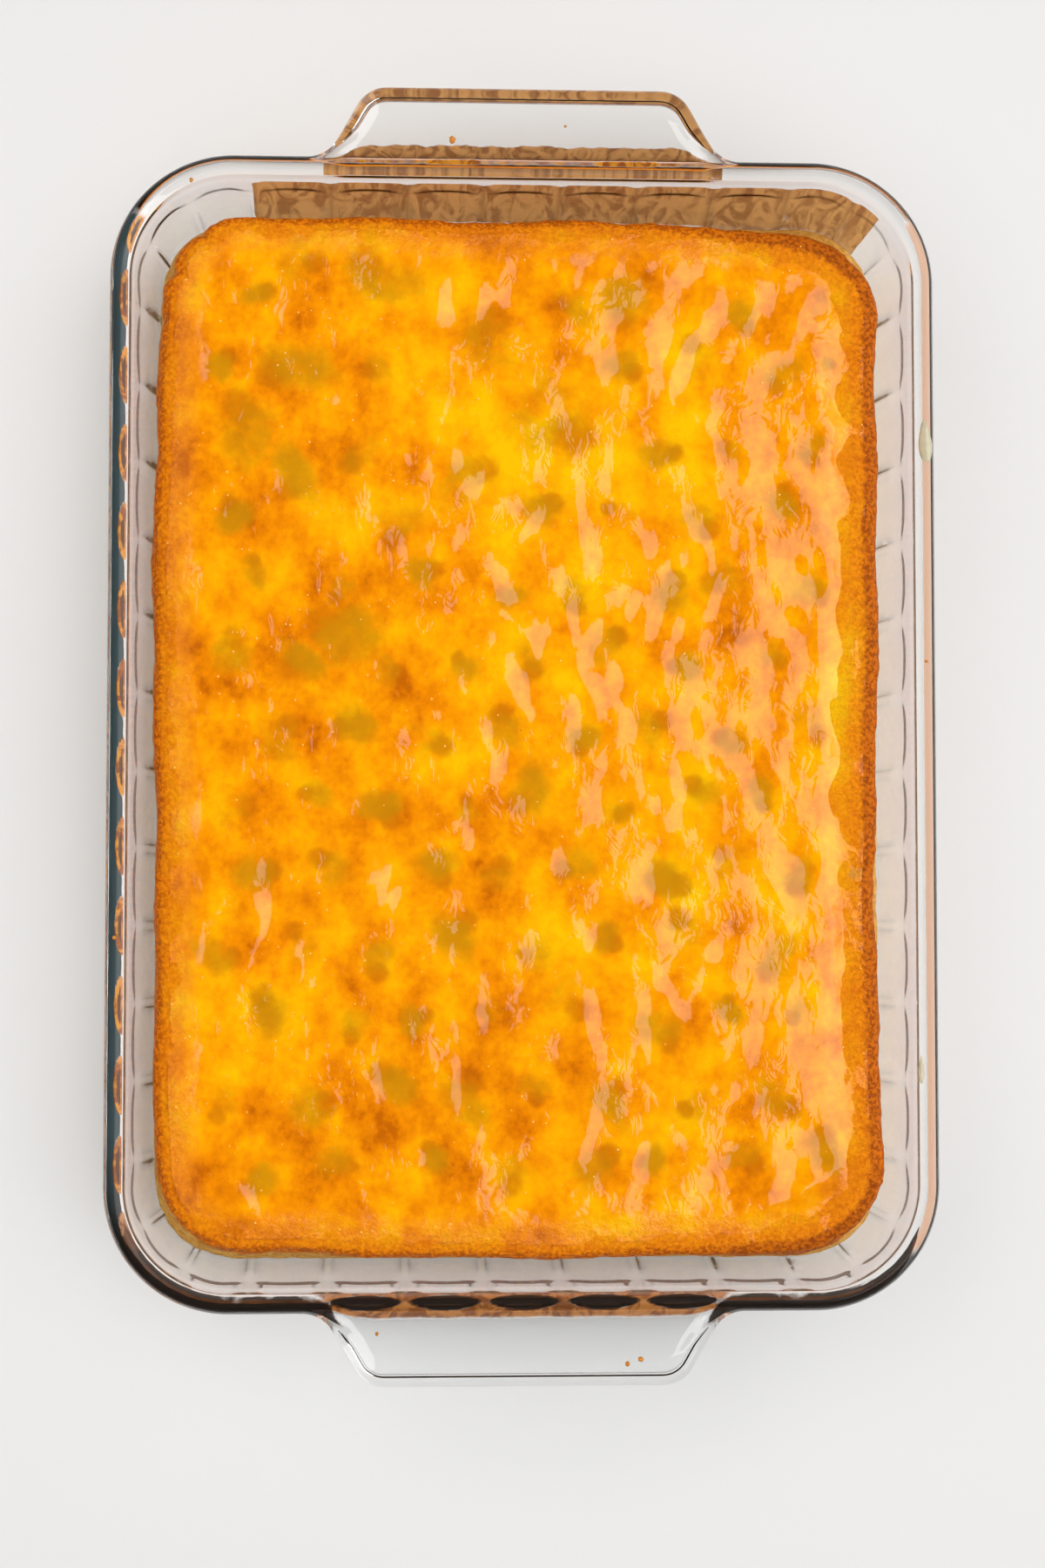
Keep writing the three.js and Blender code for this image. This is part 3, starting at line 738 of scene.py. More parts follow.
# %% Press the pillows
PILLOW_HIGH = 36.5
PILLOW_ARCH = 4.0
PILLOW_ARCH_POWER = 3.0
NECK_HIGH = 44.6
GROOVE_DEPTH = 0.8
GROOVE_SHARPNESS = 5.5
GROOVE_LOW = 3.0
FOOT_FADE = 9.0
TOP_FADE = 10.0
STEP_FADE = 3.0
NECK_FADE = 2.0


def build_pillow_tree(material):
    tree, maker, given = new_geometry_tree("press_pillows", {
        name: "NodeSocketFloat"
        for name in ("Count", "Depth", "Sharpness", "Low", "High", "Arch", "Neck")})

    def attribute(name, kind="FLOAT"):
        inputs = {"Name": name}
        return maker.wire("GeometryNodeInputNamedAttribute", {"data_type": kind}, inputs)

    turn = attribute("pillow_turn") * given["Count"] + 0.5
    share = turn.math("FRACT", turn)
    from_middle = share.math("ABSOLUTE", share * 2.0 - 1.0)
    narrow_groove = from_middle ** given["Sharpness"]
    height = maker.coordinate(maker.wire("GeometryNodeInputPosition", {}, {}), "Z")
    top = given["High"] - given["Arch"] * from_middle ** PILLOW_ARCH_POWER
    in_band = (height - given["Low"]).soft_between(0.0, FOOT_FADE * MM)
    fading = 0.4 + 0.6 * (given["High"] - height).soft_between(0.0, TOP_FADE * MM)
    groove = narrow_groove * fading
    above_pillow = (height - top).soft_between(0.0, STEP_FADE * MM) * attribute("pillow_step")
    below_neck = (given["Neck"] - height).soft_between(0.0, NECK_FADE * MM)
    hollow = groove.math("MAXIMUM", groove, above_pillow) * in_band * below_neck
    depth = given["Depth"] * hollow * attribute("outer_wall")
    push = maker.wire("ShaderNodeVectorMath", {"operation": "SCALE"}, {
        "Vector": attribute("inward", "FLOAT_VECTOR"), "Scale": depth})
    moved = maker.wire("GeometryNodeSetPosition", {}, {"Geometry": given["Geometry"], "Offset": push})
    finish_geometry_tree(maker, moved, material)
    return tree


run_geometry_tree(glass_dish, build_pillow_tree(glass_material), {
    "Count": float(PILLOWS), "Depth": GROOVE_DEPTH * MM, "Sharpness": GROOVE_SHARPNESS,
    "Low": GROOVE_LOW * MM, "High": PILLOW_HIGH * MM, "Arch": PILLOW_ARCH * MM, "Neck": NECK_HIGH * MM})
for spent in ("outer_wall", "pillow_turn", "pillow_step", "inward"):
    glass_dish.data.attributes.remove(glass_dish.data.attributes[spent])
print("dish with pillows:", len(glass_dish.data.polygons), "faces")

# %% [markdown]
# ## Where the cake was poked
# The cook pokes the warm cake with the handle of a wooden spoon, row by row but never quite in place.
# A jittered grid from a seeded random source does the same. The list of pools holds the few larger
# hollows, where two pokes ran together or the crust sank.

# %% The poke holes
HOLE_ROWS = 13
HOLE_COLUMNS = 8
HOLE_MARGIN = 15.0
HOLE_JITTER = 4.2
HOLE_RADIUS = (3.4, 5.6)
HOLE_DEPTH = (13.0, 19.0)
HOLE_STRETCH = 1.3
HOLE_STAGGER = 0.25
HOLE_SEED = 417
GOLDEN_ANGLE = 2.4
POOL_DEPTH = 11.0
POOLS = [
    (-66, 138, 7, 5, 80),
    (-40, 132, 12, 5.5, -8),
    (30, 128, 6.6, 6, 0),
    (-12, 115, 9.5, 5.5, -55),
    (-65, 106, 10, 6, -5),
    (7, 93, 12, 8.5, 75),
    (-80, 86, 9.5, 7.5, 80),
    (-66, 76, 8.5, 4.6, -60),
    (-17, 74, 8.2, 5, 60),
    (-50, 28, 9, 7.6, 20),
    (14, -76, 8.2, 4.2, 45),
    (-16, -108, 8.6, 4.4, -50),
]
PINHOLES = [(98.5, -41.6, 2.1), (91.0, 109.5, 1.9)]
PINHOLE_DEPTH = 3.0


# %% Place the holes
def seeded_random(seed):
    """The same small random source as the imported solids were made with."""
    state = seed
    while True:
        state = (state * 1664525 + 1013904223) % 2 ** 32
        yield state / 2 ** 32


def poke_holes():
    """Rows of x, y, radius, depth, stretch and angle: the pools first, then the grid's holes."""
    random = seeded_random(HOLE_SEED)

    def spread(low, high):
        return low + (high - low) * next(random)

    pools = [(x, y, math.sqrt(length * width), POOL_DEPTH, math.sqrt(length / width), math.radians(turn))
             for x, y, length, width, turn in POOLS]
    holes = list(pools)
    for row in range(HOLE_ROWS):
        stagger = HOLE_STAGGER if row % 2 == 0 else -HOLE_STAGGER
        for column in range(HOLE_COLUMNS):
            x = ((column + 0.5 + stagger) / HOLE_COLUMNS - 0.5) * 2 * (CAKE_HALF_X - HOLE_MARGIN)
            y = ((row + 0.5) / HOLE_ROWS - 0.5) * 2 * (CAKE_HALF_Y - HOLE_MARGIN)
            x += spread(-HOLE_JITTER, HOLE_JITTER)
            y += spread(-HOLE_JITTER, HOLE_JITTER)
            radius = spread(*HOLE_RADIUS)
            depth = spread(*HOLE_DEPTH)
            stretch = spread(1, HOLE_STRETCH)
            angle = spread(0, math.pi)
            near = any(math.hypot(p[0] - x, p[1] - y) < p[2] * p[4] + radius for p in pools)
            if not near:
                holes.append((x, y, radius, depth, stretch, angle))
    return holes + [(x, y, radius, PINHOLE_DEPTH, 1.0, 0.0) for x, y, radius in PINHOLES]


HOLES = poke_holes()
print(len(HOLES), "poke holes")


# %% How deep the holes are
def hole_field(x, y):
    """How deep the holes are at each point, and soft 0 to 1 masks of them and of the painted shade beside
    each.
    """
    depth_here = np.zeros_like(x)
    mask = np.zeros_like(x)
    side = np.zeros_like(x)
    for index, (centre_x, centre_y, radius, depth, stretch, angle) in enumerate(HOLES):
        close = (np.abs(x - centre_x) < 3 * radius) & (np.abs(y - centre_y) < 3 * radius)
        dx = x[close] - centre_x
        dy = y[close] - centre_y
        long_way = (dx * math.cos(angle) + dy * math.sin(angle)) / (radius * stretch)
        cross_way = (dy * math.cos(angle) - dx * math.sin(angle)) / (radius / stretch)
        out = np.hypot(long_way, cross_way)
        depth_here[close] = np.maximum(depth_here[close], depth * np.clip(1 - out, 0, 1) ** 0.8)
        showing = 0.45 + 0.55 * ((index * GOLDEN_ANGLE) % 1.0)
        mask[close] = np.maximum(mask[close], showing * (1 - smooth_step(out, 0.4, 1.9)))
        turn = GOLDEN_ANGLE * index
        beside = np.hypot(dx - radius * math.cos(turn), dy - radius * math.sin(turn)) / radius
        side[close] = np.maximum(side[close], 1 - smooth_step(beside, 0.25, 1.25))
    return depth_here, mask, side


# %% [markdown]
# ## The cake's form
# A cake from a pan shrinks away from the wall as it cools, with a wavering outline, a rounded upper
# edge and a low rolling top. The body is lofted like the dish, from the foot up the side and over the
# top, and then roughened: lumps a finger wide, crumbs a few millimetres across, and the poke holes.

# %% Heights of the cake's top
def soft_noise(x, y, size, seed):
    """Smooth random values from -1 to 1, with bumps of about the given size."""
    cells = 128
    lattice = np.random.default_rng(seed).uniform(-1, 1, (cells, cells))
    u = x / size + 1000.0
    v = y / size + 1000.0
    column = np.floor(u).astype(int)
    row = np.floor(v).astype(int)
    fade_u = smooth_step(u - column, 0, 1)
    fade_v = smooth_step(v - row, 0, 1)

    def at(step_u, step_v):
        return lattice[(column + step_u) % cells, (row + step_v) % cells]

    low = at(0, 0) * (1 - fade_u) + at(1, 0) * fade_u
    high = at(0, 1) * (1 - fade_u) + at(1, 1) * fade_u
    return low * (1 - fade_v) + high * fade_v


def cake_top_at(x, y):
    """The smooth top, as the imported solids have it."""
    across = np.maximum(1 - (x / CAKE_HALF_X) ** 2, 0)
    along = np.maximum(1 - (y / CAKE_HALF_Y) ** 2, 0)
    rolling = 0.35 * np.sin(x / 17 + 0.8) * np.cos(y / 23) + 0.25 * np.sin(y / 14 + x / 31)
    return CAKE_EDGE_HEIGHT + CAKE_DOME * across * along + rolling


# %% The cake's outline
NICKS = [(0.097, 1.3, 0.0016), (0.112, 1.8, 0.0022), (0.127, 1.0, 0.0015)]


def outline_waver(fraction, centre_x, direction_y):
    """How far the cake's edge draws back from its plain outline: waves, nicks and one slumped corner."""
    turn = 2 * math.pi * fraction
    waver = 0.8 * np.sin(3 * turn + 0.6) + 0.5 * np.sin(7 * turn + 2.1) + 0.35 * np.sin(19 * turn)
    for place, depth, width in NICKS:
        waver = waver + depth * np.exp(-((fraction - place) / width) ** 2)
    return waver + smooth_step(centre_x, 28, 80) * np.maximum(direction_y, 0) * CAKE_SLUMP


def inset_from_outline(x, y):
    """How far a point lies inside the cake's plain outline, in millimetres."""
    out_x = np.abs(x) - (CAKE_HALF_X - CAKE_RADIUS)
    out_y = np.abs(y) - (CAKE_HALF_Y - CAKE_RADIUS)
    outside = np.hypot(np.maximum(out_x, 0), np.maximum(out_y, 0))
    inside = np.minimum(np.maximum(out_x, out_y), 0)
    return CAKE_RADIUS - outside - inside


# %% Loft the cake
CAKE_STATIONS = 600
WALL_SCALE_X = (RIM_HALF_X - CORNER_RADIUS) / (CAKE_HALF_X - CAKE_RADIUS)
WALL_SCALE_Y = (RIM_HALF_Y - CORNER_RADIUS) / (CAKE_HALF_Y - CAKE_RADIUS)
cake_turn = np.arange(CAKE_STATIONS) / CAKE_STATIONS
cake_x, cake_y, cake_nx, cake_ny = outline(CAKE_HALF_X, CAKE_HALF_Y, CAKE_RADIUS, cake_turn)
waver = outline_waver(cake_turn, cake_x, cake_ny)
perimeter = 4 * (CAKE_HALF_X + CAKE_HALF_Y) - (8 - 2 * math.pi) * CAKE_RADIUS


def edge_noise(level, size, seed):
    """Noise round the side of the cake, that meets itself where the ring closes."""
    angle = 2 * math.pi * cake_turn
    ring = perimeter / (2 * math.pi)
    return soft_noise(ring * np.cos(angle) + level, ring * np.sin(angle) + 0.7 * level, size, seed)


def ring_along_wall(inset, height):
    """A ring of the cake that follows the inside of the glass, a small gap away from it."""
    reach_from_centre = CORNER_RADIUS - inset - CAKE_FOOT_GAP
    x = cake_x * WALL_SCALE_X + cake_nx * reach_from_centre - CAKE_OFFSET[0]
    y = cake_y * WALL_SCALE_Y + cake_ny * reach_from_centre - CAKE_OFFSET[1]
    return np.stack([x, y, np.full_like(x, height + CAKE_OFF_FLOOR)], -1)


def side_ring(inset, drop):
    """A ring of the cake that far inside its wavering edge and that far below its top."""
    reach_from_centre = CAKE_RADIUS - (inset + waver)
    x = cake_x + cake_nx * reach_from_centre
    y = cake_y + cake_ny * reach_from_centre
    return np.stack([x, y, cake_top_at(x, y) - drop], -1)


EDGE_PROFILE = [(-1.1, 12.0), (-0.75, 9.0), (-0.45, 6.5), (-0.2, 4.8), (0.0, 3.8), (0.2, 3.0), (0.5, 2.3),
                (0.9, 1.7), (1.4, 1.2), (2.0, 0.8), (2.7, 0.5), (3.5, 0.28), (4.4, 0.12), (5.4, 0.0)]
CAKE_FOOT_STEPS = 8
TOUCHING_HEIGHT = 21.0
CAKE_TOP_RINGS = 48
CAKE_TOP_MARGIN = 6.4
TOWARDS_MIDDLE = 0.988
cake_foot = foot_rings(ring_along_wall, inner_inset, BASE_THICKNESS, BASE_INNER_RADIUS, CAKE_FOOT_STEPS)
cake_floor = level_at(BASE_THICKNESS + CAKE_OFF_FLOOR)
cake_rings = inward_rings(cake_foot[0], FLOOR_SCALES[::-1], cake_floor) + cake_foot
touching_ring = ring_along_wall(wall_inset_at(inner_inset, TOUCHING_HEIGHT), TOUCHING_HEIGHT)
low_ring = cake_rings[-1]
high_ring = side_ring(*EDGE_PROFILE[0])
for lower, upper, steps in ((low_ring, touching_ring, 4), (touching_ring, high_ring, 5)):
    for share in np.linspace(0, 1, steps, endpoint=False):
        cake_rings.append(lower * (1 - share) + upper * share)
first_edge_ring = len(cake_rings)
for inset, drop in EDGE_PROFILE:
    cake_rings.append(side_ring(inset, drop))
margin_ring = side_ring(CAKE_TOP_MARGIN, 0.0)
top_scales = 1 - TOWARDS_MIDDLE * np.linspace(0, 1, CAKE_TOP_RINGS) ** 1.5
cake_rings += inward_rings(margin_ring, top_scales, cake_top_at)
cake_rings = np.stack(cake_rings)

# %% Roughen the cake
for index in range(len(FLOOR_SCALES), first_edge_ring + len(EDGE_PROFILE)):
    ring = cake_rings[index]
    level = ring[:, 2].mean()
    crag = 0.40 * edge_noise(level, 7.0, 11) + 0.34 * edge_noise(1.3 * level, 3.0, 12)
    crag += 0.26 * edge_noise(2 * level, 1.7, 13)
    crag = np.minimum(crag, 0.15 + 0.85 * smooth_step(level, TOUCHING_HEIGHT, TOUCHING_HEIGHT + 9))
    ring[:, 0] += cake_nx * crag
    ring[:, 1] += cake_ny * crag
top_x = cake_rings[first_edge_ring:, :, 0]
top_y = cake_rings[first_edge_ring:, :, 1]
pitting = 1 - smooth_step(inset_from_outline(top_x, top_y), 5.0, 16.0)
lumps = 0.30 * soft_noise(top_x, top_y, 11, 21) + 0.20 * soft_noise(top_x, top_y, 4.5, 22)
grains = (0.12 + 0.16 * pitting) * soft_noise(top_x, top_y, 1.7, 23)
hole_depth, _, _ = hole_field(top_x, top_y)
cake_rings[first_edge_ring:, :, 2] += np.minimum(lumps + grains, GAP + 0.1) - 0.15 - hole_depth
sponge = loft_mesh("lemon_sponge", cake_rings, CAKE_OFFSET)
from_rim = np.clip(inset_from_outline(cake_rings[..., 0], cake_rings[..., 1]) - waver, -2, 40)
add_float_attribute(sponge, "from_rim", from_rim)
print("sponge:", len(sponge.data.polygons), "faces")

# %% [markdown]
# ## The lemon glaze
# The glaze is poured on warm. It fills the holes, spreads to a skin a millimetre or so thick, and sets
# to a clear wet gel. Its own surface is smoother than the crumb below it, with long low ripples from
# the pour and a small sink over each hole: these ripples are what breaks up the reflections.

# %% Loft the glaze
def glaze_ripples(x, y):
    """Height of the pour's ripples, long in Y and short in X."""
    drift = x + 5.0 * soft_noise(x, y, 26, 31)
    lively = smooth_step(soft_noise(x, y, 24, 36), -0.15, 0.55)
    broad = soft_noise(drift, y * 0.6, 15, 32)
    middle = soft_noise(drift, y * 0.6 + 0.3 * x, 7.5, 33)
    narrow = soft_noise(drift, y * 0.6 - 0.2 * x, 4.2, 34)
    return 0.38 * broad + (0.24 + 0.52 * lively) * middle + (0.08 + 0.26 * lively) * narrow


OVER_RINGS = 126
UNDER_RINGS = 20
glaze_edge = side_ring(GLAZE_MARGIN - 1.5, 0.0)
over_scales = 1 - TOWARDS_MIDDLE * np.linspace(0, 1, OVER_RINGS) ** 1.1
under_scales = (1 - TOWARDS_MIDDLE * np.linspace(0, 1, UNDER_RINGS) ** 1.2)[::-1]
under_rings = np.stack(inward_rings(glaze_edge, under_scales, cake_top_at))
over_rings = np.stack(inward_rings(glaze_edge, over_scales, cake_top_at))
over_inset = inset_from_outline(over_rings[..., 0], over_rings[..., 1]) - waver
under_depth, under_mask, under_side = hole_field(under_rings[..., 0], under_rings[..., 1])
under_rings[..., 2] -= 0.7 + under_depth
_, over_mask, over_side = hole_field(over_rings[..., 0], over_rings[..., 1])
margin_waver = 3.0 * soft_noise(over_rings[..., 0], over_rings[..., 1], 9, 35)
margin_waver += 6.0 * smooth_step(over_rings[..., 0], 55, 95)
risen = smooth_step(over_inset - margin_waver, 3.0, 12.0)
thickness = -0.45 + (GAP + GLAZE_THICKNESS + 0.45) * risen
ripples = glaze_ripples(over_rings[..., 0], over_rings[..., 1]) * smooth_step(over_inset, 5.0, 14.0)
over_rings[..., 2] += thickness + ripples - 0.5 * over_mask
glaze = loft_mesh("lemon_glaze_skin", np.concatenate([under_rings, over_rings]), CAKE_OFFSET)
print("glaze:", len(glaze.data.polygons), "faces, top at", round(float(over_rings[..., 2].max()), 2), "mm")

# %% Tell the glaze where its holes and its rim are
under_inset = inset_from_outline(under_rings[..., 0], under_rings[..., 1]) - waver
for name, under_values, over_values in (("gel_depth", under_mask, over_mask),
                                        ("hole_side", under_side, over_side),
                                        ("from_rim", under_inset, over_inset)):
    add_float_attribute(glaze, name, under_values, over_values)

# %% [markdown]
# ## Colours of the crumb
# Under the glaze the cake is a patchwork: bright yellow crumb where the crust is thin, orange crust,
# and browner spots. Sponge and glaze share this patchwork, so that the glaze looks clear although it is
# painted. The colours are linear values of tones that were read off.

# %% The patchwork
def crumb_colour(maker, place):
    """Bright crumb in the middle, browner towards the rim; shared by the sponge and the glaze."""
    broad = maker.noise(place, 0.055, detail=1.0)
    patches = maker.noise(maker.stretched(place, (1.0, 0.8, 1.0)), 0.014, detail=5.0, roughness=0.62)
    grain = maker.noise(place, 0.0022, detail=2.0, roughness=0.6)
    fine = maker.noise(place, 0.0012, detail=2.0, roughness=0.6)
    from_rim = maker.attribute("from_rim")
    off_middle = maker.wire("ShaderNodeVectorMath", {"operation": "DISTANCE"}, {
        0: place, 1: (0.04, 0.03, 0.04)}, output=1)
    pale_middle = 1.0 - off_middle.soft_between(0.03, 0.15)
    mixed = patches * 0.74 + broad * 0.3 + grain * 0.12 + pale_middle * 0.055 - 0.093
    crumb = maker.wire("ShaderNodeValToRGB", {"stops": [
        (0.34, (0.56, 0.130, 0.0010)),
        (0.40, (0.77, 0.210, 0.0008)),
        (0.46, (0.91, 0.280, 0.0006)),
        (0.52, (0.98, 0.360, 0.0006)),
        (0.59, (1.00, 0.445, 0.0006)),
        (0.68, (1.00, 0.555, 0.0010)),
    ]}, {"Fac": mixed})
    crust = maker.mix(fine.soft_between(0.36, 0.64), (0.70, 0.155, 0.002), (0.96, 0.300, 0.004))
    rightward = maker.coordinate(place, "X").soft_between(0.03, 0.09)
    far_end = maker.coordinate(place, "Y").soft_between(0.10, 0.14)
    inner_crust = (from_rim + grain * 5.0 - rightward * 3.0).soft_between(4.0, 13.0)
    crusted = maker.mix((1.0 - inner_crust) * 0.80, crumb, crust)
    browned = maker.mix(fine.soft_between(0.42, 0.60), (0.44, 0.084, 0.002), (0.88, 0.225, 0.002))
    wide = rightward * 2.8 + far_end * 0.8
    rim_band = 1.0 - (from_rim + grain * 2.8 - 1.6 - wide).soft_between(0.4, 2.6)
    dark = maker.mix(fine.soft_between(0.36, 0.62), (0.24, 0.040, 0.002), (0.60, 0.135, 0.004))
    darker = maker.mix(rightward, browned, dark)
    return maker.mix(rim_band * 0.9, crusted, darker)


# %% [markdown]
# ## Finish of the sponge and of the glaze
# The sponge is dull and pitted, and paler towards its foot. The glaze is a clear wet gel, and could be
# a see-through shader over the crumb. But light that bends through a skin this thin needs many samples,
# and comes out dark over rough crumb. So the glaze is opaque and glossy and shows the crumb's own
# patchwork. Where a hole makes the gel deep it turns olive, partly the gel's own colour and partly
# painted shade of the depth. Beside each hole a browner patch is painted shade of the hole's wall. The
# glaze's bump is long and liquid, and turns grainy towards the rim.

# %% Finish the sponge
def make_sponge():
    material, maker, place = new_material("baked_sponge")
    crumb = crumb_colour(maker, place)
    height = maker.coordinate(place, "Z")
    speckle = maker.noise(place, 0.0024, detail=4.0, roughness=0.75)
    side = 1.0 - (height + speckle * 0.004).soft_between(0.0290, 0.0345)
    low_down = 1.0 - height.soft_between(0.024, 0.034)
    browner_tone = maker.mix(low_down, (0.44, 0.120, 0.008), (0.62, 0.290, 0.045))
    lighter = maker.mix(low_down, (0.74, 0.250, 0.020), (0.90, 0.520, 0.120))
    golden = maker.mix(speckle.soft_between(0.35, 0.65), browner_tone, lighter)
    colour = maker.mix(side, crumb, golden)
    pores = maker.noise(place, 0.0009, detail=3.0, roughness=0.7)
    # Darker in the pores that the bump sinks: painted shade in the small pits.
    pitted = maker.mix(pores.soft_between(0.46, 0.66) * 0.30, colour, (0.50, 0.120, 0.003))
    bump = maker.bump(speckle * 1.1 - pores * 0.6, 1.0, 0.0009)
    set_surface(maker, maker.wire("ShaderNodeBsdfPrincipled", {}, {
        "Base Color": pitted, "Roughness": 0.5, "IOR": 1.3, "Specular IOR Level": 0.12, "Normal": bump}))
    return material


# %% Finish the glaze
def make_glaze():
    material, maker, place = new_material("lemon_gel")
    crumb = crumb_colour(maker, place)
    ragged = maker.noise(place, 0.0065, detail=4.0, roughness=0.65) - 0.5
    # Olive over deep gel is partly its own colour and partly painted shade. Browner beside each hole is
    # painted shade of the hole's wall.
    gel = (maker.attribute("gel_depth") + ragged * 1.2).soft_between(0.1, 1.0)
    side = (maker.attribute("hole_side") + ragged * 1.2).soft_between(0.25, 1.1)
    browner_tone = maker.mix(side * 0.6, crumb, (0.50, 0.120, 0.002))
    olive = maker.mix(maker.noise(place, 0.010), (0.50, 0.200, 0.003), (0.66, 0.300, 0.003))
    filled = maker.mix(gel * 0.86, browner_tone, olive)
    grainy = 1.0 - maker.attribute("from_rim").soft_between(5.0, 15.0)
    drift = maker.stretched(place, (1.0, 0.72, 1.0), (0, 0, 0.2))
    liquid = maker.noise(drift, 0.0046, detail=2.6, roughness=0.5, distortion=0.6)
    lively = maker.noise(place, 0.019, detail=1.0).soft_between(0.45, 0.64) + 0.18
    lumpy = maker.noise(place, 0.0019, detail=3.0, roughness=0.6)
    bump = maker.bump(liquid * lively * 0.75 + lumpy * grainy * 1.3, 1.0, 0.0009)
    set_surface(maker, maker.wire("ShaderNodeBsdfPrincipled", {}, {
        "Base Color": filled, "Roughness": 0.05 + grainy * 0.2, "IOR": 1.37, "Normal": bump}))
    return material


sponge.data.materials.append(make_sponge())
glaze.data.materials.append(make_glaze())

# %% [markdown]
# ## Bubbles in the glaze
# A few tiny bubbles stayed in the glaze as it set. They are one small bead repeated all over it, so one
# Geometry Nodes tree scatters them on the faces that look up.

# %% Scatter the bubbles
def build_bubble_tree(material):
    tree, maker, given = new_geometry_tree("scatter_bubbles", {
        "Density": "NodeSocketFloat", "Smallest": "NodeSocketFloat", "Largest": "NodeSocketFloat"})
    upward = maker.coordinate(maker.wire("GeometryNodeInputNormal", {}, {}), "Z")
    facing_up = maker.wire("FunctionNodeCompare", {"operation": "GREATER_THAN"}, {0: upward, 1: 0.5})
    points = maker.wire("GeometryNodeDistributePointsOnFaces", {}, {
        "Mesh": given["Geometry"], "Selection": facing_up, "Density": given["Density"], "Seed": 12})
    bead = maker.wire("GeometryNodeMeshIcoSphere", {}, {"Radius": 1.0, "Subdivisions": 2})
    size = maker.wire("FunctionNodeRandomValue", {"data_type": "FLOAT"}, {
        "Min": given["Smallest"], "Max": given["Largest"], "Seed": 7}, output=1)
    spread = maker.wire("GeometryNodeInstanceOnPoints", {}, {
        "Points": points, "Instance": bead, "Scale": size})
    smooth = maker.wire("GeometryNodeSetShadeSmooth", {}, {"Geometry": spread})
    finish_geometry_tree(maker, smooth, material)
    return tree


bubble_material = two_tone_material("gel_bubble", 0.004, (1.0, 0.50, 0.02), (1.0, 0.72, 0.25), 0.06)
bubbles = link_object("glaze_bubbles", glaze.data.copy())
run_geometry_tree(bubbles, build_bubble_tree(bubble_material), {
    "Density": 9000.0, "Smallest": 0.00012, "Largest": 0.00034})
print("bubbles:", len(bubbles.data.polygons), "faces")

# %% [markdown]
# ## Crumbs and drops on the glass
# A dish from a real kitchen is not quite clean: a few crumbs lie on the tabs and the rim, and two drops
# of pale glaze lie on the rim. A crumb is a small ball pushed in and out at random; a drop is a low
# dome drawn out to one side. Both could be sculpted, but a formula for each makes all of them.

# %% Crumbs
CRUMBS = [
    (-21.0, 172.0, 52.0, 0.9), (-20.2, 169.6, 52.0, 0.5), (29.5, -181.5, 52.0, 0.8),
    (33.2, -180.2, 52.0, 0.6), (-42.0, -172.5, 52.0, 0.5), (12.0, 176.5, 52.0, 0.4),
    (-96.5, 158.6, 53.9, 0.5), (116.8, 20.0, 54.0, 0.45), (-116.9, -60.0, 54.0, 0.5),
]


def ball_points(rows, around):
    """A unit ball as rings of points, without its two poles."""
    up = np.linspace(-math.pi / 2, math.pi / 2, rows + 2)[1:-1][:, None]
    turn = np.arange(around)[None, :] * 2 * math.pi / around
    return np.stack([np.cos(up) * np.cos(turn), np.cos(up) * np.sin(turn), np.sin(up) + 0 * turn], -1)


crumb_random = np.random.default_rng(5)


def crumb_rings(x, y, z, size):
    """A ball pushed in and out at random, and drawn out at random along each axis."""
    rings = ball_points(7, 12)
    rough = 1 + crumb_random.uniform(-0.28, 0.28, rings.shape[:2] + (1,))
    stretch = crumb_random.uniform(0.7, 1.3, 3)
    return rings * rough * stretch * size + np.array([x, y, z + 0.35 * size])


def join_lofts(name, lofts):
    """One object from several closed lofts."""
    parts = [loft_mesh(name, rings) for rings in lofts]
    with bpy.context.temp_override(active_object=parts[0], selected_editable_objects=parts):
        bpy.ops.object.join()
    return parts[0]


crumbs = join_lofts("cake_crumbs", [crumb_rings(*crumb) for crumb in CRUMBS])
crumbs.data.materials.append(
    two_tone_material("toasted_crumb", 0.0008, (0.45, 0.13, 0.01), (0.85, 0.36, 0.04), 0.7))
print(len(CRUMBS), "crumbs:", len(crumbs.data.polygons), "faces")

# %% Drops of pale glaze on the rim
DROPS = [
    (117.0, 84.5, 53.6, 2.1, 6.6, 1.3, 0.06),
    (114.5, -98.0, 53.3, 0.9, 4.0, 0.5, 0.0),
]


def drop_rings(x, y, z, half_width, half_length, height, turn):
    """A low dome, wider at its lower end."""
    rings = ball_points(13, 28)
    narrowing = 1 - 0.45 * smooth_step(rings[..., 1], -0.4, 1.0)
    across = rings[..., 0] * half_width * narrowing
    along = rings[..., 1] * half_length
    x_turned = across * math.cos(turn) - along * math.sin(turn)
    y_turned = across * math.sin(turn) + along * math.cos(turn)
    up = rings[..., 2] * height - 0.10 * across ** 2
    return np.stack([x + x_turned, y + y_turned, z + up], -1)


drops = join_lofts("rim_drops", [drop_rings(*drop) for drop in DROPS])
drops.data.materials.append(
    two_tone_material("pale_glaze_drop", 0.003, (0.48, 0.42, 0.27), (0.68, 0.62, 0.44), 0.12))
print(len(DROPS), "drops:", len(drops.data.polygons), "faces")

# %% [markdown]
# ## Floor, lights and camera
# The floor is plain and pale. One very large soft light hangs to the right, like a window: it lights
# the cake, throws a soft shadow to the left, and is what the wet glaze mirrors. Overhead the room is
# dark, which gives the glass its dark edges. An image of a real room could light the scene as well, but
# a few lights and a world of four tones are easier to tune.

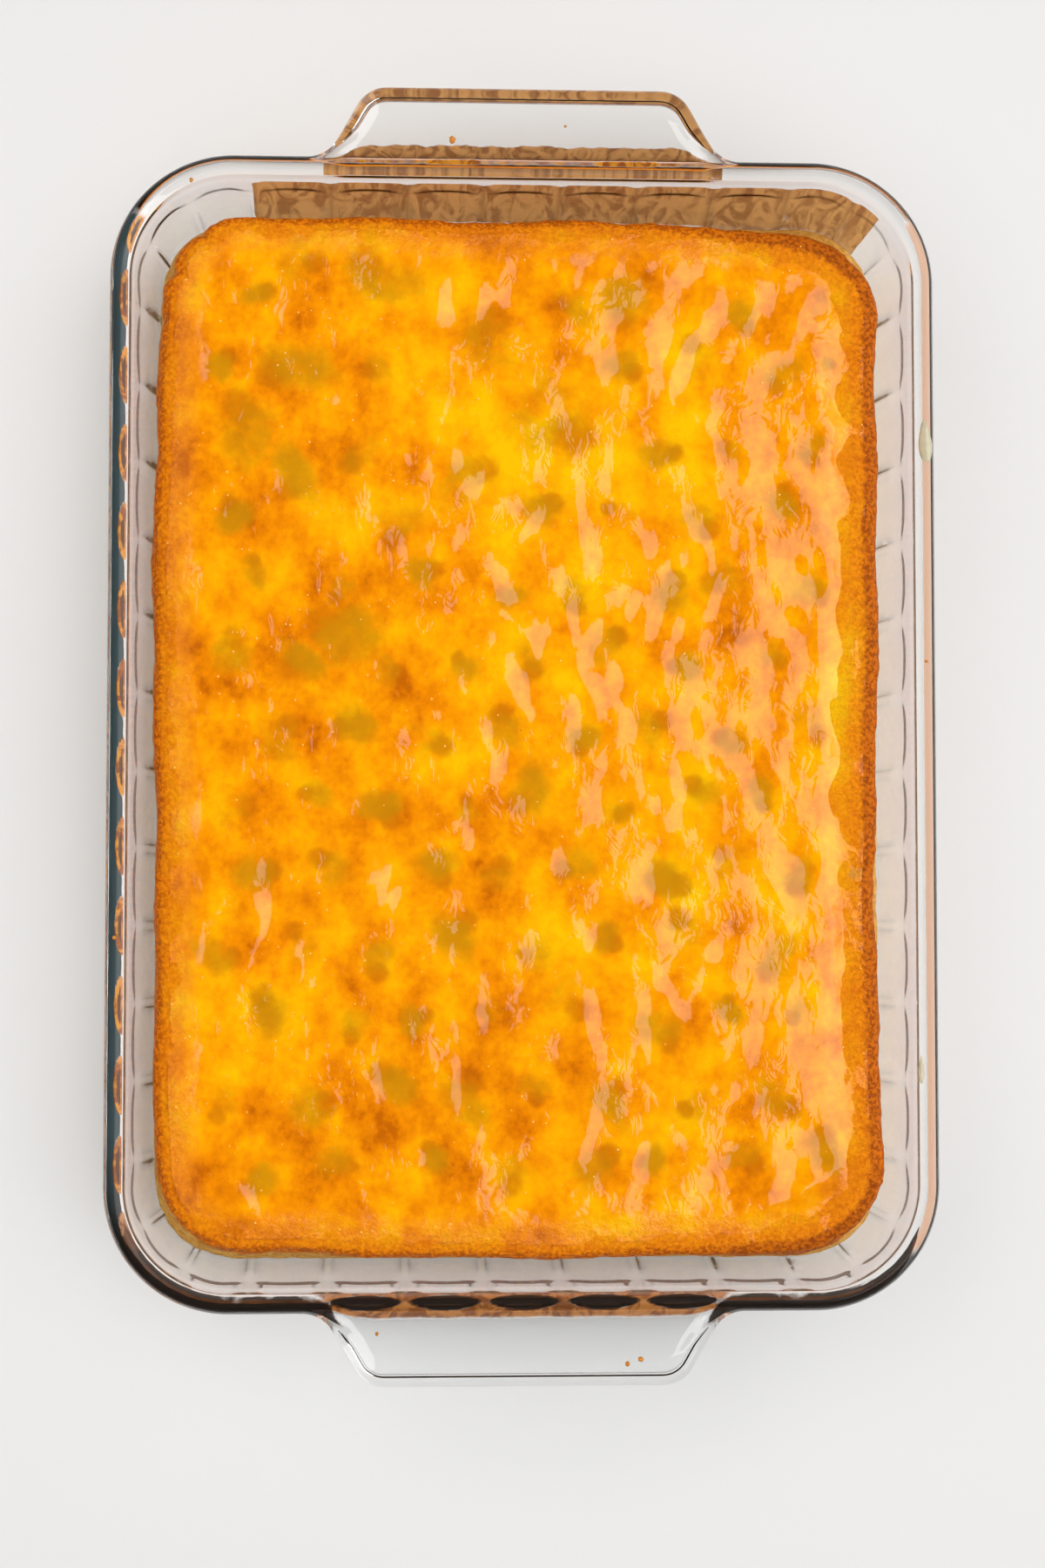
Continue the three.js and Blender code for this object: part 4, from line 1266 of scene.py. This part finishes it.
# %% The floor
FLOOR_HALF = 5.0
FLOOR_DROP = 0.0004
floor_mesh = bpy.data.meshes.new("floor")
floor_corners = [(x * FLOOR_HALF, y * FLOOR_HALF, -FLOOR_DROP)
                 for x, y in ((-1, -1), (1, -1), (1, 1), (-1, 1))]
floor_mesh.from_pydata(floor_corners, [], [(0, 1, 2, 3)])
floor = link_object("floor", floor_mesh)
floor_mesh.materials.append(
    two_tone_material("pale_floor", 0.35, (0.765, 0.780, 0.785), (0.825, 0.840, 0.845), 0.5, detail=3.0))


# %% The lights
def add_area_light(name, place, target, size, radiance, tint=(1, 1, 1), mirrored=False):
    """A soft rectangular light with the given brightness; a mirrored one shows only in reflections."""
    light = bpy.data.lights.new(name, "AREA")
    light.shape = "RECTANGLE"
    light.size, light.size_y = size
    light.energy = radiance * math.pi * size[0] * size[1]
    light.color = tint
    holder = link_object(name, light)
    holder.location = place
    holder.rotation_euler = (Vector(target) - Vector(place)).to_track_quat("-Z", "Y").to_euler()
    holder.visible_glossy = mirrored
    holder.visible_diffuse = not mirrored
    holder.visible_transmission = mirrored


WINDOW_PLACE = (0.98, 0.05, 1.02)
WINDOW_SIZE = (1.40, 1.8)
CAKE_TOP = (0, 0, 0.04)
WARM_WHITE = (1.0, 0.93, 0.86)
add_area_light("window_seen", WINDOW_PLACE, CAKE_TOP, WINDOW_SIZE, 3.5, mirrored=True)
add_area_light("window_light", WINDOW_PLACE, CAKE_TOP, WINDOW_SIZE, 2.65)
add_area_light("fill", (-1.0, 0.3, 1.0), CAKE_TOP, (1.5, 1.6), 0.85, WARM_WHITE)
add_area_light("ceiling", (-0.1, 0.0, 1.9), (-0.1, 0, 0), (3.4, 3.4), 1.06)
bpy.context.scene.view_settings.view_transform = "Standard"


# %% The room beyond the lights
def make_room():
    """Overhead nearly black, brown beyond the far handle and pale towards the window; pale grey low down.

    The pale grey stands behind the dish in low views, where a dark room would frame it.
    """
    world = bpy.data.worlds.new("room")
    world.use_nodes = True
    maker = Maker(world.node_tree)
    direction = maker.wire("ShaderNodeTexCoord", {}, {}, output="Generated")
    rightward = maker.coordinate(direction, "X").soft_between(0.3, 0.9)
    away = maker.coordinate(direction, "Y").soft_between(0.3, 0.9)
    high = maker.coordinate(direction, "Z").soft_between(0.20, 0.38)
    overhead = maker.mix(rightward, (0.02, 0.02, 0.02), (0.70, 0.68, 0.66))
    overhead = maker.mix(away, overhead, (0.30, 0.130, 0.045))
    tone = maker.mix(high, (0.62, 0.61, 0.60), overhead)
    maker.tree.links.new(tone.socket, world.node_tree.nodes["Background"].inputs["Color"])
    bpy.context.scene.world = world


make_room()

# %% The camera
IMAGE_HEIGHT_PX = 1800
FOCAL_PX = 3188.0
SENSOR_HEIGHT_MM = 36.0
CAMERA_PLACE = Vector((-0.040, -0.0585, 0.85))
PITCH = math.radians(3.065)
YAW = math.radians(2.834)
camera_data = bpy.data.cameras.new("overhead")
camera_data.sensor_fit = "VERTICAL"
camera_data.sensor_height = SENSOR_HEIGHT_MM
camera_data.lens = SENSOR_HEIGHT_MM * FOCAL_PX / IMAGE_HEIGHT_PX
camera = link_object("overhead", camera_data)
forward = Vector((math.sin(YAW), math.sin(PITCH), -1)).normalized()
right = forward.cross(Vector((0, 1, 0))).normalized()
above = right.cross(forward)
turned = Matrix((right, above, -forward)).transposed().to_4x4()
camera.matrix_world = Matrix.Translation(CAMERA_PLACE) @ turned
bpy.context.scene.camera = camera
print("camera at", tuple(round(value, 4) for value in CAMERA_PLACE))

# %% [markdown]
# ## Hand the pieces over
# Each piece rides on the root body, and the imported node that it stands for is hidden.

# %% Ride and replace
for piece, node, slot in ((glass_dish, "dish", "dish_glass"), (sponge, "cake", "cake_sponge"),
                          (glaze, "lemon_glaze", "lemon_glaze")):
    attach(piece, "root")
    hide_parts(node)
for piece, slot in ((bubbles, "lemon_glaze"), (drops, "lemon_glaze"), (crumbs, "cake_sponge")):
    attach(piece, "root")
